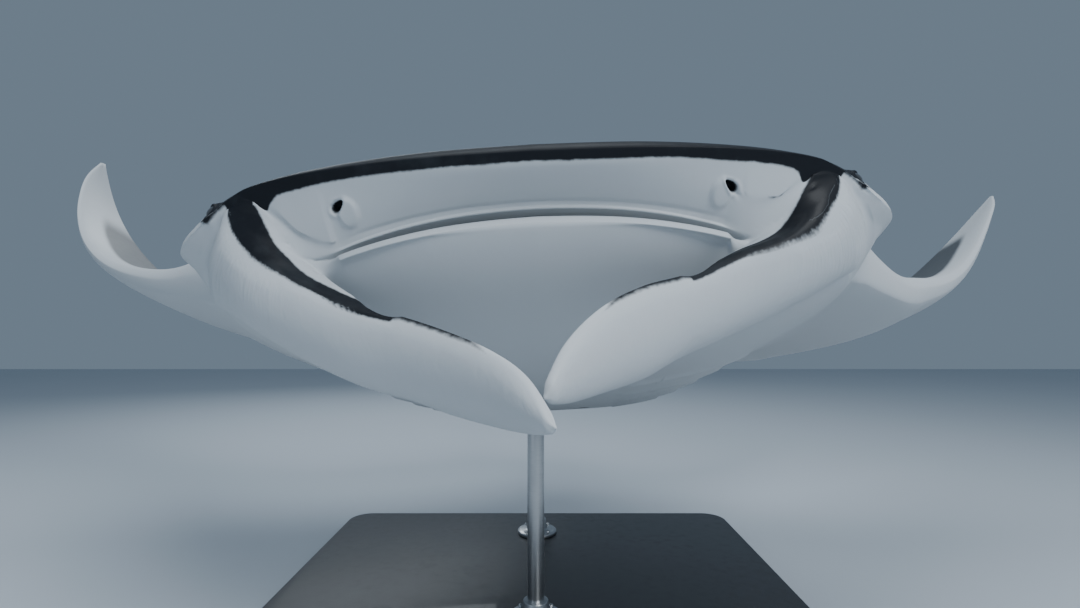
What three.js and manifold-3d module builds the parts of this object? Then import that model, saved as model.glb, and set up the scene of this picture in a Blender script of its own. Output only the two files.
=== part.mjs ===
// Reef manta ray, life size, held on a plain stand. Millimetres, +Z up, head towards -Y.
// The flesh is shaped in the animal's own frame (x to its left, y backwards, z up, origin at the
// middle of the front rim), then pitched and banked as one group above the stand.
import * as THREE from 'three';
import { mergeVertices } from 'three/addons/utils/BufferGeometryUtils.js';
import Module from 'manifold-3d';

const wasm = await Module();
wasm.setup();

// Driving dimensions
const BODY_LENGTH = 1455;        // front rim to tail base
const BACK_HEIGHT = 130;         // crest of the back above the wing plane datum
const BELLY_DEPTH = 222;         // deepest belly below the datum
const WING_PLANE = -12;          // mid plane of the wings
const WING_ROOT = 500;           // where trunk ends and wing begins
const HEAD_BACK = 315;           // where head ends and trunk begins
const MOUTH_HALF = 228;          // half width of the mouth
const GAP = 0.4;                 // gap between neighbouring pieces
const EYE_RADIUS = 13;
const EYE_PLACE = [365, 91, -21]; // middle of the left eye; the right one mirrors it
const TAIL_LENGTH = 1180;
const PITCH = -14.4;             // degrees, the three turns that set the swimming attitude
const BANK = -3;
const LOOK = 2.4;
const HANG = [0, -742, 800];     // where the middle of the front rim sits over the stand
const BASE = [1150, 1000, 28];   // stand base plate
const ROD_RADIUS = 17;
const ROD_SPOTS = [[0, -150], [0, 330]];
const ROD_DEPTH = 60;            // how far a rod goes up inside the belly
const COLLAR = { radius: 55, height: 40, neck: 27, foot: 8 };
const BASE_CORNER = 60;
const LOBE_BULGE = 22;           // most that a lobe swells outwards between its edges
const LOBE_STEPS = 22;
const BELLY_STEPS = 12;
const JAW_BACK = 215;            // where the lower jaw ends behind the rim
const TAIL_STEPS = 24;
const TAIL_SIDES = 8;

const leadingEdge = [[0, 0], [120, 4], [220, 18], [290, 38], [350, 66], [405, 103], [443, 148], [460, 198],
  [472, 250], [500, 312], [566, 378], [705, 488], [850, 593], [1000, 694], [1150, 786], [1300, 868],
  [1430, 930], [1530, 975], [1600, 1022]];
const trailingEdge = [[0, 1455], [70, 1450], [130, 1430], [170, 1405], [210, 1375], [250, 1350], [290, 1325],
  [340, 1300], [390, 1275], [450, 1250], [530, 1225], [700, 1190], [850, 1168], [1000, 1150], [1150, 1135],
  [1300, 1115], [1430, 1090], [1530, 1064], [1602, 1036]];
// rim and free edge of each rolled-in head lobe, root to tip
const lobes = {
  right: {
    rim: [[-285, 52, -12], [-332, 60, -24], [-306, 51, -72], [-262, 53, -108], [-200, 35, -143],
      [-140, 10, -168], [-90, -16, -191], [-45, -48, -217], [-14, -74, -244], [6, -98, -281]],
    free: [[-395, 250, -58], [-422, 176, -86], [-350, 132, -136], [-268, 102, -187], [-190, 73, -226],
      [-130, 50, -247], [-85, 20, -265], [-40, -22, -280], [-10, -68, -288], [8, -97, -289]],
  },
  left: {
    rim: [[285, 52, -12], [332, 60, -22], [305, 53, -65], [259, 47, -93], [205, 42, -111],
      [150, 22, -139], [98, -4, -157], [55, -28, -181], [20, -47, -215], [-2, -60, -256]],
    free: [[395, 250, -58], [420, 186, -86], [350, 155, -124], [262, 130, -165], [195, 108, -193],
      [142, 85, -214], [100, 56, -236], [60, 20, -250], [22, -20, -262], [0, -54, -265]],
  },
};
// how each wing bends along its span: lift of the root and where it ends, root angle, added tip angle,
// where the curl starts, its power, and how far the tip is swept back
const wingBend = {
  right: { lift: 26, over: 640, root: 0.342, curl: 1.21, from: 678, power: 2.146, sweep: 0 },
  left: { lift: -77, over: 720, root: -0.685, curl: 1.497, from: 450, power: 0.394, sweep: 132 },
};

const softLower = (a, b) => (a + b - Math.hypot(a - b, 8)) / 2;
const clamp = (v, a = 0, b = 1) => Math.min(Math.max(v, a), b);
const smooth = (a, b, v) => { const t = clamp((v - a) / (b - a)); return t * t * (3 - 2 * t); };
const mix = (a, b, t) => a + (b - a) * t;
const table = (xs, ys, v) => {
  if (v <= xs[0]) return ys[0];
  for (let i = 1; i < xs.length; i++)
    if (v <= xs[i]) return mix(ys[i - 1], ys[i], (v - xs[i - 1]) / (xs[i] - xs[i - 1]));
  return ys[ys.length - 1];
};

// smooth curve through evenly counted control points
function through(points, t) {
  const n = points.length - 1;
  const v = clamp(t, 0, n);
  const i = Math.min(Math.floor(v), n - 1);
  const f = v - i;
  const at = k => (k < 0 ? points[0].map((c, j) => 2 * c - points[1][j])
    : k > n ? points[n].map((c, j) => 2 * c - points[n - 1][j]) : points[k]);
  const [a, b, c, d] = [at(i - 1), at(i), at(i + 1), at(i + 2)];
  return b.map((_, j) => 0.5 * (2 * b[j] + (c[j] - a[j]) * f
    + (2 * a[j] - 5 * b[j] + 4 * c[j] - d[j]) * f * f + (3 * b[j] - a[j] - 3 * c[j] + d[j]) * f ** 3));
}

// profiles of the trunk
function bellyDepth(y) {
  const v = Math.max(y, 0);
  if (v < 620) return BELLY_DEPTH * Math.sqrt(1 - (1 - v / 620) ** 2.6);
  return BELLY_DEPTH * Math.max(Math.cos(Math.PI / 2 * clamp((v - 620) / 880) ** 1.15), 0) ** 0.9;
}
const backHeight = y => BACK_HEIGHT * Math.max(Math.sin(Math.PI * clamp(y / 1470) ** 0.85), 0) ** 1.1;
const rimDepth = x => table([0, 120, 220, 290, 350, 405, 443, 475], [0, 4, 18, 38, 66, 103, 148, 250], Math.abs(x));
const wingThickness = x => table([0, 450, 600, 800, 1000, 1200, 1400, 1520, 1590],
  [120, 120, 88, 64, 45, 30, 18, 11, 6], Math.abs(x));

function surfaces(x, y, c) {
  const flank = smooth(100, 500, y);
  const low = 1 / (1 + (Math.abs(x) / (480 - 95 * flank)) ** 4.4);
  const high = 1 / (1 + (Math.abs(x) / (450 - 70 * flank)) ** 3.6);
  const fromRim = y - rimDepth(x) * (1 - smooth(0, 520, y));
  const crown = backHeight(fromRim) - 9 * (x / 320) ** 2 * (1 - smooth(0, 320, y));
  const half = wingThickness(x) / 2 * 2.9 * Math.sqrt(clamp(c)) * clamp(1 - c) ** 1.3;
  return [crown * high + (WING_PLANE + half) * (1 - high),
    -bellyDepth(y - rimDepth(x)) * low + (WING_PLANE - half) * (1 - low)];
}

const upperLip = x => -47 - 27 * (x / MOUTH_HALF) ** 2;
const lowerLip = x => -64 - 25 * (x / MOUTH_HALF) ** 2;

// profile under the front rim: [distance back from the rim, height]
function mouthProfile(x) {
  const open = Math.sqrt(clamp(1 - (x / MOUTH_HALF) ** 2));
  const parted = open ** 0.3;
  const mid = (upperLip(x) + lowerLip(x)) / 2;
  const up = mix(mid, upperLip(x), parted) + 1 - open;
  const low = mix(mid, lowerLip(x), parted) - 1 + open;
  return [[0, -10], [9, -21], [30, mix(-10, up, 0.6)], [mix(50, 52, parted), up + 4],
    [mix(53.5, 59, parted), up - 1], [mix(55, 60, parted) + 50 * open, up + 2 * open],
    [mix(56, 62, parted) + 110 * open, mix(up, low, 0.2)], [mix(57, 62, parted) + 118 * open, mix(up, low, 0.8)],
    [mix(57.5, 60, parted) + 50 * open, low - 2 * open], [mix(57.5, 46, parted), low - 0.5],
    [mix(57, 34, parted), low - 3], [mix(56, 29, parted), low - 11]];
}

// bends a wing point up or down its span
const SPAN = Array.from({ length: 400 }, (_, i) => 440 + i * 1180 / 399);
function bendOf(w) {
  const angle = SPAN.map(v => {
    const t = clamp((v - w.from) / (1580 - w.from));
    return w.root * smooth(450, 800, v) + w.curl * t ** w.power * smooth(-0.02, 0.22, t);
  });
  const xs = [SPAN[0]], zs = [0];
  for (let i = 1; i < SPAN.length; i++) {
    const step = SPAN[i] - SPAN[i - 1];
    xs.push(xs[i - 1] + step * (Math.cos(angle[i]) + Math.cos(angle[i - 1])) / 2);
    zs.push(zs[i - 1] + step * (Math.sin(angle[i]) + Math.sin(angle[i - 1])) / 2);
  }
  return { angle, xs, zs, lift: w.lift, over: w.over, sweep: w.sweep };
}
const bends = { right: bendOf(wingBend.right), left: bendOf(wingBend.left) };
function bend([x, y, z]) {
  const u = Math.abs(x);
  if (u <= SPAN[0]) return [x, y, z];
  const b = x < 0 ? bends.right : bends.left;
  const a = table(SPAN, b.angle, u);
  const lift = z - WING_PLANE;
  return [Math.sign(x) * (table(SPAN, b.xs, u) - lift * Math.sin(a)), y + b.sweep * smooth(500, 1700, u),
    WING_PLANE + table(SPAN, b.zs, u) + lift * Math.cos(a) + b.lift * smooth(440, b.over, u)];
}

// one fore-and-aft section: bottom run then top run, both from nose to rear edge
function section(s) {
  const L = through(leadingEdge, s), T = through(trailingEdge, s);
  const ahead = through(leadingEdge, s + 0.02), behind = through(leadingEdge, Math.max(s - 0.02, 0));
  const run = Math.hypot(ahead[0] - behind[0], ahead[1] - behind[1]);
  const inward = [-(ahead[1] - behind[1]) / run, (ahead[0] - behind[0]) / run];
  const straight = smooth(8.5, 12, s);
  let dir = [inward[0] * (1 - straight) * smooth(0, 1, s), inward[1] * (1 - straight) + straight];
  const size = Math.hypot(...dir);
  dir = dir.map(v => v / size);
  const chord = Math.hypot(T[0] - L[0], T[1] - L[1]);
  let reach = mix(300, 120, smooth(3, 6, s));
  reach = mix(reach, 0.3 * chord, smooth(7.5, 11, s));
  const P1 = [L[0] + dir[0] * reach, L[1] + dir[1] * reach], P2 = [T[0], T[1] - 0.35 * chord];
  const curve = new THREE.CubicBezierCurve(...[L, P1, P2, T].map(p => new THREE.Vector2(...p)));
  curve.arcLengthDivisions = 300;
  const total = curve.getLength();
  const at = d => curve.getPointAt(clamp(d / total));
  const side = smooth(3.2, 5.2, s) * (1 - smooth(8, 9.6, s)), wing = smooth(8, 9.6, s);
  const apex = -10 - 32 * side + (WING_PLANE + 10) * wing;
  const round = 16 + 52 * side - 10 * smooth(10, 17, s);
  const swell = t => Math.sqrt(Math.max(1 - (1 - clamp(t)) ** 2, 0));
  const stop = Math.min(round, 0.45 * total);
  const edge = d => 3 * smooth(0.5, 1, d / total);
  const top = d => {
    const p = at(d);
    return [p.x, p.y, mix(apex, surfaces(p.x, p.y, d / total)[0], swell(d / stop)) + edge(d)];
  };
  const low = d => {
    const p = at(d);
    const cheek = apex - 18 * side * swell(d / 30);
    const belly = surfaces(p.x, p.y, d / total)[1];
    return [p.x, p.y, mix(apex, mix(belly, softLower(belly, cheek), side), swell(d / stop)) - edge(d)];
  };
  const mouthShare = 1 - smooth(2.55, 3.3, s);
  const profile = mouthProfile(L[0]);
  const chin = profile[profile.length - 1];
  const bottom = profile.map(([d, z], i) => {
    const plain = low(stop * (1 - Math.cos(Math.PI / 2 * i / (profile.length - 1))));
    const p = at(d);
    return [mix(plain[0], p.x, mouthShare), mix(plain[1], p.y, mouthShare), mix(plain[2], z, mouthShare)];
  });
  const from = mix(stop, chin[0], mouthShare);
  for (let i = 1; i <= BELLY_STEPS; i++) {
    const d = mix(from, total, (i / BELLY_STEPS) ** 1.25);
    const p = low(d);
    const blend = mouthShare * (1 - smooth(0, 60, d - from));
    bottom.push([p[0], p[1], mix(p[2], Math.min(p[2], chin[1]), blend)]);
  }
  const upper = [];
  for (let i = 1; i <= 4; i++) upper.push(top(stop * (1 - Math.cos(Math.PI / 2 * i / 4))));
  for (let i = 1; i <= 10; i++) upper.push(top(mix(stop, total, (i / 10) ** 1.15)));
  return { bottom, upper };
}

const STATIONS = [0, 0.6, 1.2, 1.8, 2.3, 2.7, 3.1, 3.6, 4.2, 4.8, 5.4, 6, 6.8, 7.6, 8.3, 9, 9.6, 10.2, 11, 12, 13, 14, 15,
  15.8, 16.5, 17.1, 17.6, 18];

function solidFrom(points, faces) {
  const geometry = new THREE.BufferGeometry();
  geometry.setAttribute('position', new THREE.Float32BufferAttribute(points.flat(), 3));
  geometry.setIndex(faces.flat());
  return solid(geometry);
}
function solid(geometry) {
  const g = geometry.clone();
  for (const name of Object.keys(g.attributes)) if (name !== 'position') g.deleteAttribute(name);
  const merged = mergeVertices(g, 1e-4);
  return new wasm.Manifold(new wasm.Mesh({
    numProp: 3,
    vertProperties: new Float32Array(merged.attributes.position.array),
    triVerts: new Uint32Array(merged.index.array),
  }));
}
function geometryOf(manifold) {
  const m = manifold.getMesh();
  const geometry = new THREE.BufferGeometry();
  const count = m.vertProperties.length / m.numProp;
  const flat = new Float32Array(count * 3);
  for (let i = 0; i < count; i++) for (let j = 0; j < 3; j++) flat[3 * i + j] = m.vertProperties[m.numProp * i + j];
  geometry.setAttribute('position', new THREE.BufferAttribute(flat, 3));
  geometry.setIndex(Array.from(m.triVerts));
  geometry.computeVertexNormals();
  return geometry;
}

// skin over a row of closed loops, with a fan at each end
function loftMesh(loops) {
  const count = loops[0].length;
  const points = loops.flat();
  const faces = [];
  for (let i = 0; i < loops.length - 1; i++)
    for (let j = 0; j < count; j++) {
      const k = (j + 1) % count;
      const [a, b, c, d] = [i * count + j, i * count + k, (i + 1) * count + k, (i + 1) * count + j];
      faces.push([a, b, c], [a, c, d]);
    }
  for (const i of [0, loops.length - 1]) {
    points.push([0, 1, 2].map(k => loops[i].reduce((sum, p) => sum + p[k], 0) / count));
    for (let j = 0; j < count; j++) {
      const pair = [i * count + j, i * count + (j + 1) % count];
      if (i === 0) pair.reverse();
      faces.push([points.length - 1, ...pair]);
    }
  }
  if (solidFrom(points, faces).volume() < 0) faces.forEach(f => f.reverse());
  return { points, faces };
}
function loftSolid(loops) {
  const { points, faces } = loftMesh(loops);
  return solidFrom(points, faces);
}

// closed body from the sections of both sides; grow pushes every point out along its normal
function bodySolid(grow) {
  const half = STATIONS.map(section);
  const columns = [...half.slice(1).reverse().map(h => ({ sign: -1, ...h })), ...half.map(h => ({ sign: 1, ...h }))];
  const loops = columns.map(({ sign, bottom, upper }) =>
    [...[...upper].reverse(), ...bottom].map(([x, y, z]) => bend([sign * x, y, z])));
  const { points, faces } = loftMesh(loops);
  const geometry = new THREE.BufferGeometry();
  geometry.setAttribute('position', new THREE.Float32BufferAttribute(points.flat(), 3));
  geometry.setIndex(faces.flat());
  geometry.computeVertexNormals();
  const normal = geometry.attributes.normal;
  return solidFrom(points.map((p, i) => p.map((v, k) => v + grow * normal.getComponent(i, k))), faces);
}

// head lobe: a thick ribbon between its rim and its free edge, bulging outwards
function lobeSolid({ rim, free }) {
  const last = rim.length - 1;
  const loops = [];
  for (let i = 0; i <= LOBE_STEPS; i++) {
    const share = i / LOBE_STEPS;
    const t = last * share;
    const R = new THREE.Vector3(...through(rim, t)), M = new THREE.Vector3(...through(free, t));
    const next = new THREE.Vector3(...through(rim, t + 0.05)).add(new THREE.Vector3(...through(free, t + 0.05)));
    const prior = new THREE.Vector3(...through(rim, t - 0.05)).add(new THREE.Vector3(...through(free, t - 0.05)));
    const chord = M.clone().sub(R);
    const outward = next.sub(prior).cross(chord).normalize();
    if (outward.z > 0) outward.negate();
    const width = chord.length();
    const rimHalf = mix(10, 4, share), freeHalf = mix(4, 2.5, share);
    const loop = [];
    const offsets = [0, 0.08, 0.28, 0.56, 0.86, 1];
    const point = (v, s) => {
      const thick = mix(rimHalf, freeHalf, v) * Math.sqrt(Math.max(1 - Math.abs(2 * v - 1) ** 6, 0));
      const bulge = Math.min(0.16 * width, LOBE_BULGE) * mix(0.3, 1, smooth(0.06, 0.3, share)) * 4 * v * (1 - v);
      return R.clone().addScaledVector(chord, v).addScaledVector(outward, bulge + s * thick).toArray();
    };
    for (const v of offsets) loop.push(point(v, 1));
    for (const v of offsets.slice(1, -1).reverse()) loop.push(point(v, -1));
    loops.push(loop);
  }
  return loftSolid(loops.reverse());
}

// tapering fin or tail: stations of [centre, half width across, half height]
function taperSolid(stations, steps, sides) {
  const loops = [];
  for (let i = 0; i <= steps; i++) {
    const t = (stations.length - 1) * i / steps;
    const [x, y, z, w, h] = through(stations, t);
    const ahead = through(stations, t + 0.05), back = through(stations, t - 0.05);
    const dir = new THREE.Vector3(ahead[0] - back[0], ahead[1] - back[1], ahead[2] - back[2]).normalize();
    const across = new THREE.Vector3(1, 0, 0).addScaledVector(dir, -dir.x).normalize();
    const up = across.clone().cross(dir);
    const loop = [];
    for (let j = 0; j < sides; j++) {
      const a = 2 * Math.PI * j / sides;
      const [wide, high] = [w * Math.cos(a), h * Math.sin(a)];
      loop.push([x, y, z].map((v, k) => v + across.getComponent(k) * wide + up.getComponent(k) * high));
    }
    loops.push(loop);
  }
  return loftSolid(loops);
}

// thin blade with rounded edges between two edge curves
function bladeSolid(front, rear, normal, halfThick, steps) {
  const loops = [];
  const n = new THREE.Vector3(...normal).normalize();
  for (let i = 0; i <= steps; i++) {
    const t = (front.length - 1) * i / steps;
    const F = new THREE.Vector3(...through(front, t)), R = new THREE.Vector3(...through(rear, t));
    const half = mix(halfThick[0], halfThick[1], i / steps);
    const put = (v, s) => {
      const thick = half * Math.sqrt(Math.max(1 - Math.abs(2 * v - 1) ** 3, 0));
      return F.clone().lerp(R, v).addScaledVector(n, s * thick).toArray();
    };
    const offsets = [0, 0.08, 0.3, 0.6, 0.9, 1];
    loops.push([...offsets.map(v => put(v, 1)), ...offsets.slice(1, -1).reverse().map(v => put(v, -1))]);
  }
  return loftSolid(loops);
}

const box = (w, d, h, x, y, z) => solid(new THREE.BoxGeometry(w, d, h).translate(x, y, z));

const ray = new THREE.Group();
ray.position.set(...HANG);
const lookGroup = new THREE.Group(), bankGroup = new THREE.Group(), pitchGroup = new THREE.Group();
lookGroup.rotation.x = THREE.MathUtils.degToRad(LOOK);
bankGroup.rotation.y = THREE.MathUtils.degToRad(BANK);
pitchGroup.rotation.x = THREE.MathUtils.degToRad(PITCH);
ray.add(lookGroup);
lookGroup.add(bankGroup);
bankGroup.add(pitchGroup);
ray.updateMatrixWorld(true);
const toAnimal = pitchGroup.matrixWorld.clone().invert();

const paints = {
  back: new THREE.MeshStandardMaterial({ color: 0x1d2125, roughness: 0.55, metalness: 0 }),
  belly: new THREE.MeshStandardMaterial({ color: 0xc9cdcf, roughness: 0.5, metalness: 0 }),
  eye: new THREE.MeshStandardMaterial({ color: 0x08090b, roughness: 0.1, metalness: 0 }),
  steel: new THREE.MeshStandardMaterial({ color: 0x8e9295, roughness: 0.35, metalness: 1 }),
  board: new THREE.MeshStandardMaterial({ color: 0x2a2b2d, roughness: 0.5, metalness: 0 }),
};
function addPiece(parent, name, manifold, paint) {
  const mesh = new THREE.Mesh(geometryOf(manifold), paint);
  mesh.name = name;
  parent.add(mesh);
  return mesh;
}

// stand rods run straight up into sockets in the belly
const rodTops = [];
const body = bodySolid(0);
const grown = bodySolid(GAP);
const lobeClear = bodySolid(2.5 * GAP);
const turned = geometry => solid(geometry.applyMatrix4(toAnimal));
let flesh = body;
for (const [x, y] of ROD_SPOTS) {
  // height of the belly over this spot, by a thin probe
  const probe = turned(new THREE.CylinderGeometry(1, 1, 1600, 8).rotateX(Math.PI / 2).translate(x, y, 800));
  const hit = geometryOf(body.intersect(probe)).applyMatrix4(pitchGroup.matrixWorld);
  hit.computeBoundingBox();
  rodTops.push(hit.boundingBox.min.z + ROD_DEPTH);
  flesh = flesh.subtract(turned(new THREE.CylinderGeometry(ROD_RADIUS + GAP, ROD_RADIUS + GAP, rodTops.at(-1) + GAP, 24)
    .rotateX(Math.PI / 2).translate(x, y, (rodTops.at(-1) + GAP) / 2)));
}

// eyes sit in sockets on the head's shoulders
const eyes = { right: EYE_PLACE.map((v, k) => (k === 0 ? -v : v)), left: EYE_PLACE };
const ball = (side, r) => solid(new THREE.SphereGeometry(r, 16, 8).translate(...eyes[side]));
for (const side of ['right', 'left']) flesh = flesh.subtract(ball(side, EYE_RADIUS + GAP));

// whole fins and tail, later trimmed where they enter the body
const tailRun = [[0, 1290, 2, 50, 34], [0, 1400, 4, 34, 27], [0, 1500, 6, 22, 19], [0, 1650, 22, 15, 13], [0, 1850, 62, 11, 10],
  [0, 2100, 120, 8, 7.5], [0, 2350, 180, 5.5, 5], [0, BODY_LENGTH + TAIL_LENGTH * 0.98, 240, 3.5, 3.5]];
const tail = taperSolid(tailRun, TAIL_STEPS, TAIL_SIDES);
const tailGrown = taperSolid(tailRun.map(([x, y, z, w, h]) => [x, y, z, w + GAP, h + GAP]), TAIL_STEPS, TAIL_SIDES);
const dorsal = bladeSolid([[0, 1285, 20], [0, 1330, 62], [0, 1378, 98], [0, 1418, 112]],
  [[0, 1405, 22], [0, 1418, 55], [0, 1430, 88], [0, 1432, 110]], [1, 0, 0], [9, 2], 8);
const pelvic = {};
for (const [side, k] of [['right', -1], ['left', 1]])
  pelvic[side] = bladeSolid([[k * 25, 1330, -8], [k * 70, 1350, -10], [k * 118, 1392, -13], [k * 140, 1440, -16]],
    [[k * 14, 1500, -4], [k * 48, 1518, -8], [k * 92, 1516, -13], [k * 136, 1478, -16]], [0, 0, 1], [8, 3], 8);

// part the body at the wing roots and behind the head
const wide = 4000;
const leftHalf = box(wide, wide, wide, WING_ROOT + GAP / 2 + wide / 2, 0, 0);
const rightHalf = box(wide, wide, wide, -WING_ROOT - GAP / 2 - wide / 2, 0, 0);
const middle = box(2 * WING_ROOT - GAP, wide, wide, 0, 0, 0);
const front = box(wide, wide, wide, 0, HEAD_BACK - GAP / 2 - wide / 2, 0);
const rear = box(wide, wide, wide, 0, HEAD_BACK + GAP / 2 + wide / 2, 0);
const core = flesh.intersect(middle);
let head = core.intersect(front);
const trunk = core.intersect(rear);

// lower jaw: everything under the line between the lips
function jawTool(extra) {
  const shape = new THREE.Shape();
  const reach = MOUTH_HALF - 12 + extra;
  shape.moveTo(-reach, -400);
  for (let i = 0; i <= 24; i++) {
    const x = mix(-reach, reach, i / 24);
    shape.lineTo(x, mix(upperLip(x), lowerLip(x), 0.7) + extra);
  }
  shape.lineTo(reach, -400);
  shape.closePath();
  const bar = new THREE.ExtrudeGeometry(shape, { depth: 300 + extra, bevelEnabled: false });
  // shape plane stands upright, its depth runs back from -y to the jaw hinge
  return solid(bar.rotateX(Math.PI / 2).translate(0, JAW_BACK + extra, 0));
}
const jaw = head.intersect(jawTool(0));
head = head.subtract(jawTool(GAP));

addPiece(pitchGroup, 'head', head, paints.back);
addPiece(pitchGroup, 'lower_jaw', jaw, paints.belly);
addPiece(pitchGroup, 'trunk', trunk, paints.back);
addPiece(pitchGroup, 'wing_right', flesh.intersect(rightHalf), paints.back);
addPiece(pitchGroup, 'wing_left', flesh.intersect(leftHalf), paints.back);
for (const side of ['right', 'left'])
  addPiece(pitchGroup, `cephalic_lobe_${side}`,
    lobeSolid(lobes[side]).subtract(lobeClear).subtract(ball(side, EYE_RADIUS + GAP)), paints.belly);
addPiece(pitchGroup, 'eye_right', ball('right', EYE_RADIUS), paints.eye);
addPiece(pitchGroup, 'eye_left', ball('left', EYE_RADIUS), paints.eye);
addPiece(pitchGroup, 'tail', tail.subtract(grown), paints.back);
addPiece(pitchGroup, 'dorsal_fin', dorsal.subtract(grown).subtract(tailGrown), paints.back);
addPiece(pitchGroup, 'pelvic_fin_right', pelvic.right.subtract(grown).subtract(tailGrown), paints.back);
addPiece(pitchGroup, 'pelvic_fin_left', pelvic.left.subtract(grown).subtract(tailGrown), paints.back);

// plain display stand
const stand = new THREE.Group();
const plate = new THREE.Shape();
const [bw, bd, bh] = BASE;
const [cx, cy] = [bw / 2 - BASE_CORNER, bd / 2 - BASE_CORNER];
plate.moveTo(-cx, -bd / 2);
plate.lineTo(cx, -bd / 2);
plate.absarc(cx, -cy, BASE_CORNER, -Math.PI / 2, 0, false);
plate.absarc(cx, cy, BASE_CORNER, 0, Math.PI / 2, false);
plate.absarc(-cx, cy, BASE_CORNER, Math.PI / 2, Math.PI, false);
plate.absarc(-cx, -cy, BASE_CORNER, Math.PI, 1.5 * Math.PI, false);
const plateShape = new THREE.ExtrudeGeometry(plate, { depth: bh, bevelEnabled: false, curveSegments: 8 });
const plateMesh = new THREE.Mesh(plateShape, paints.board);
plateMesh.name = 'stand_base';
stand.add(plateMesh);
ROD_SPOTS.forEach(([x, y], i) => {
  const place = i === 0 ? 'front' : 'rear';
  const length = rodTops[i] - bh - GAP;
  const rod = new THREE.Mesh(new THREE.CylinderGeometry(ROD_RADIUS, ROD_RADIUS, length, 24), paints.steel);
  rod.name = `stand_rod_${place}`;
  rod.rotation.x = Math.PI / 2;
  rod.position.set(x, y, bh + GAP + length / 2);
  const bore = ROD_RADIUS + GAP;
  const profile = [[bore, 0], [COLLAR.radius, 0], [COLLAR.radius, COLLAR.foot], [COLLAR.radius - 5, COLLAR.foot + 4],
    [COLLAR.neck, COLLAR.foot + 6], [COLLAR.neck - 3, COLLAR.height], [bore, COLLAR.height], [bore, 0]];
  const collar = new THREE.Mesh(new THREE.LatheGeometry(profile.map(p => new THREE.Vector2(...p)), 18), paints.steel);
  collar.name = `stand_collar_${place}`;
  collar.rotation.x = Math.PI / 2;
  collar.position.set(x, y, bh + GAP);
  stand.add(rod, collar);
});

const part = new THREE.Group();
part.add(ray, stand);
export default part;
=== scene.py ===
import math
import bmesh
import bpy
import numpy as np
from mathutils import Matrix, Vector


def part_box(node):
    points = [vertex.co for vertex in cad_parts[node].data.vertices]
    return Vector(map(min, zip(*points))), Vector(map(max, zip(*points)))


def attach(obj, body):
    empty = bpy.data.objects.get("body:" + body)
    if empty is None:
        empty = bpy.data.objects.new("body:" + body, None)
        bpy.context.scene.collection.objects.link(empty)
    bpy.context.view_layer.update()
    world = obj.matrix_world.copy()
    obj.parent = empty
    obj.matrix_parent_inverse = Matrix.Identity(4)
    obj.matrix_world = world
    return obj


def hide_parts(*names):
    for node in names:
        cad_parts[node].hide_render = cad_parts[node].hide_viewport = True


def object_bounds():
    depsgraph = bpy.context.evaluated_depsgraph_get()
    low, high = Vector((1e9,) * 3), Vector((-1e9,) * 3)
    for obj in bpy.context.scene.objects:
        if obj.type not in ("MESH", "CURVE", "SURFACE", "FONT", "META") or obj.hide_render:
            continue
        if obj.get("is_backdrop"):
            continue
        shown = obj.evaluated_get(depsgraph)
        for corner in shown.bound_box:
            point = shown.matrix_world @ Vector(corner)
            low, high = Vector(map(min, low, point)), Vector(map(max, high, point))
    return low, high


# Reef manta ray on a plain stand. The flesh is shaped in the animal's own frame, in metres:
# x to its left, y backwards, z up, origin at the middle of the front rim. One matrix then
# pitches and banks it over the stand.

attitude = {
    "pitch": -14.4,
    "bank": -3.0,
    "look": 2.4,
    "rimHeight": 0.80,
    "rimAhead": 0.742,
}
camera = {
    "ahead": -0.505,      # from the rim, in the animal's own frame
    "below": -0.298,
    "focal": 18.667,      # millimetres, with the sensor's width
    "sensor": 36,
}


def turn(axis, degrees):
    return Matrix.Rotation(math.radians(degrees), 4, axis)


tilted = turn("X", attitude["look"]) @ turn("Y", attitude["bank"]) @ turn("X", attitude["pitch"])
swimming = Matrix.Translation((0, -attitude["rimAhead"], attitude["rimHeight"])) @ tilted


def clamp(value, low=0.0, high=1.0):
    return np.minimum(np.maximum(value, low), high)


def smooth(low, high, value):
    t = clamp((np.asarray(value, float) - low) / (high - low))
    return t * t * (3 - 2 * t)


def mix(a, b, t):
    return a + (b - a) * t


def bump(value, centre, width):
    return np.exp(-((np.asarray(value, float) - centre) / width) ** 2)


# the lower of two heights, with a rounded changeover
def softLower(a, b, width=0.008):
    return (a + b - np.sqrt((a - b) ** 2 + width ** 2)) / 2


# smooth curve through points, which it meets at t = 0, 1, 2 and so on
def through(points, t):
    points = np.asarray(points, float)
    last = len(points) - 1
    padded = np.vstack([2 * points[0] - points[1], points, 2 * points[-1] - points[-2]])
    t = clamp(np.atleast_1d(np.asarray(t, float)), 0, last)
    i = np.minimum(t.astype(int), last - 1)
    f = (t - i)[:, None]
    a, b, c, d = (padded[i + k] for k in range(4))
    quad = 2 * a - 5 * b + 4 * c - d
    cube = 3 * b - a - 3 * c + d
    return 0.5 * (2 * b + (c - a) * f + quad * f ** 2 + cube * f ** 3)


# running length of a line of points
def lengthAlong(line):
    return np.append(0, np.cumsum(np.linalg.norm(np.diff(line, axis=0), axis=1)))


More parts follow.
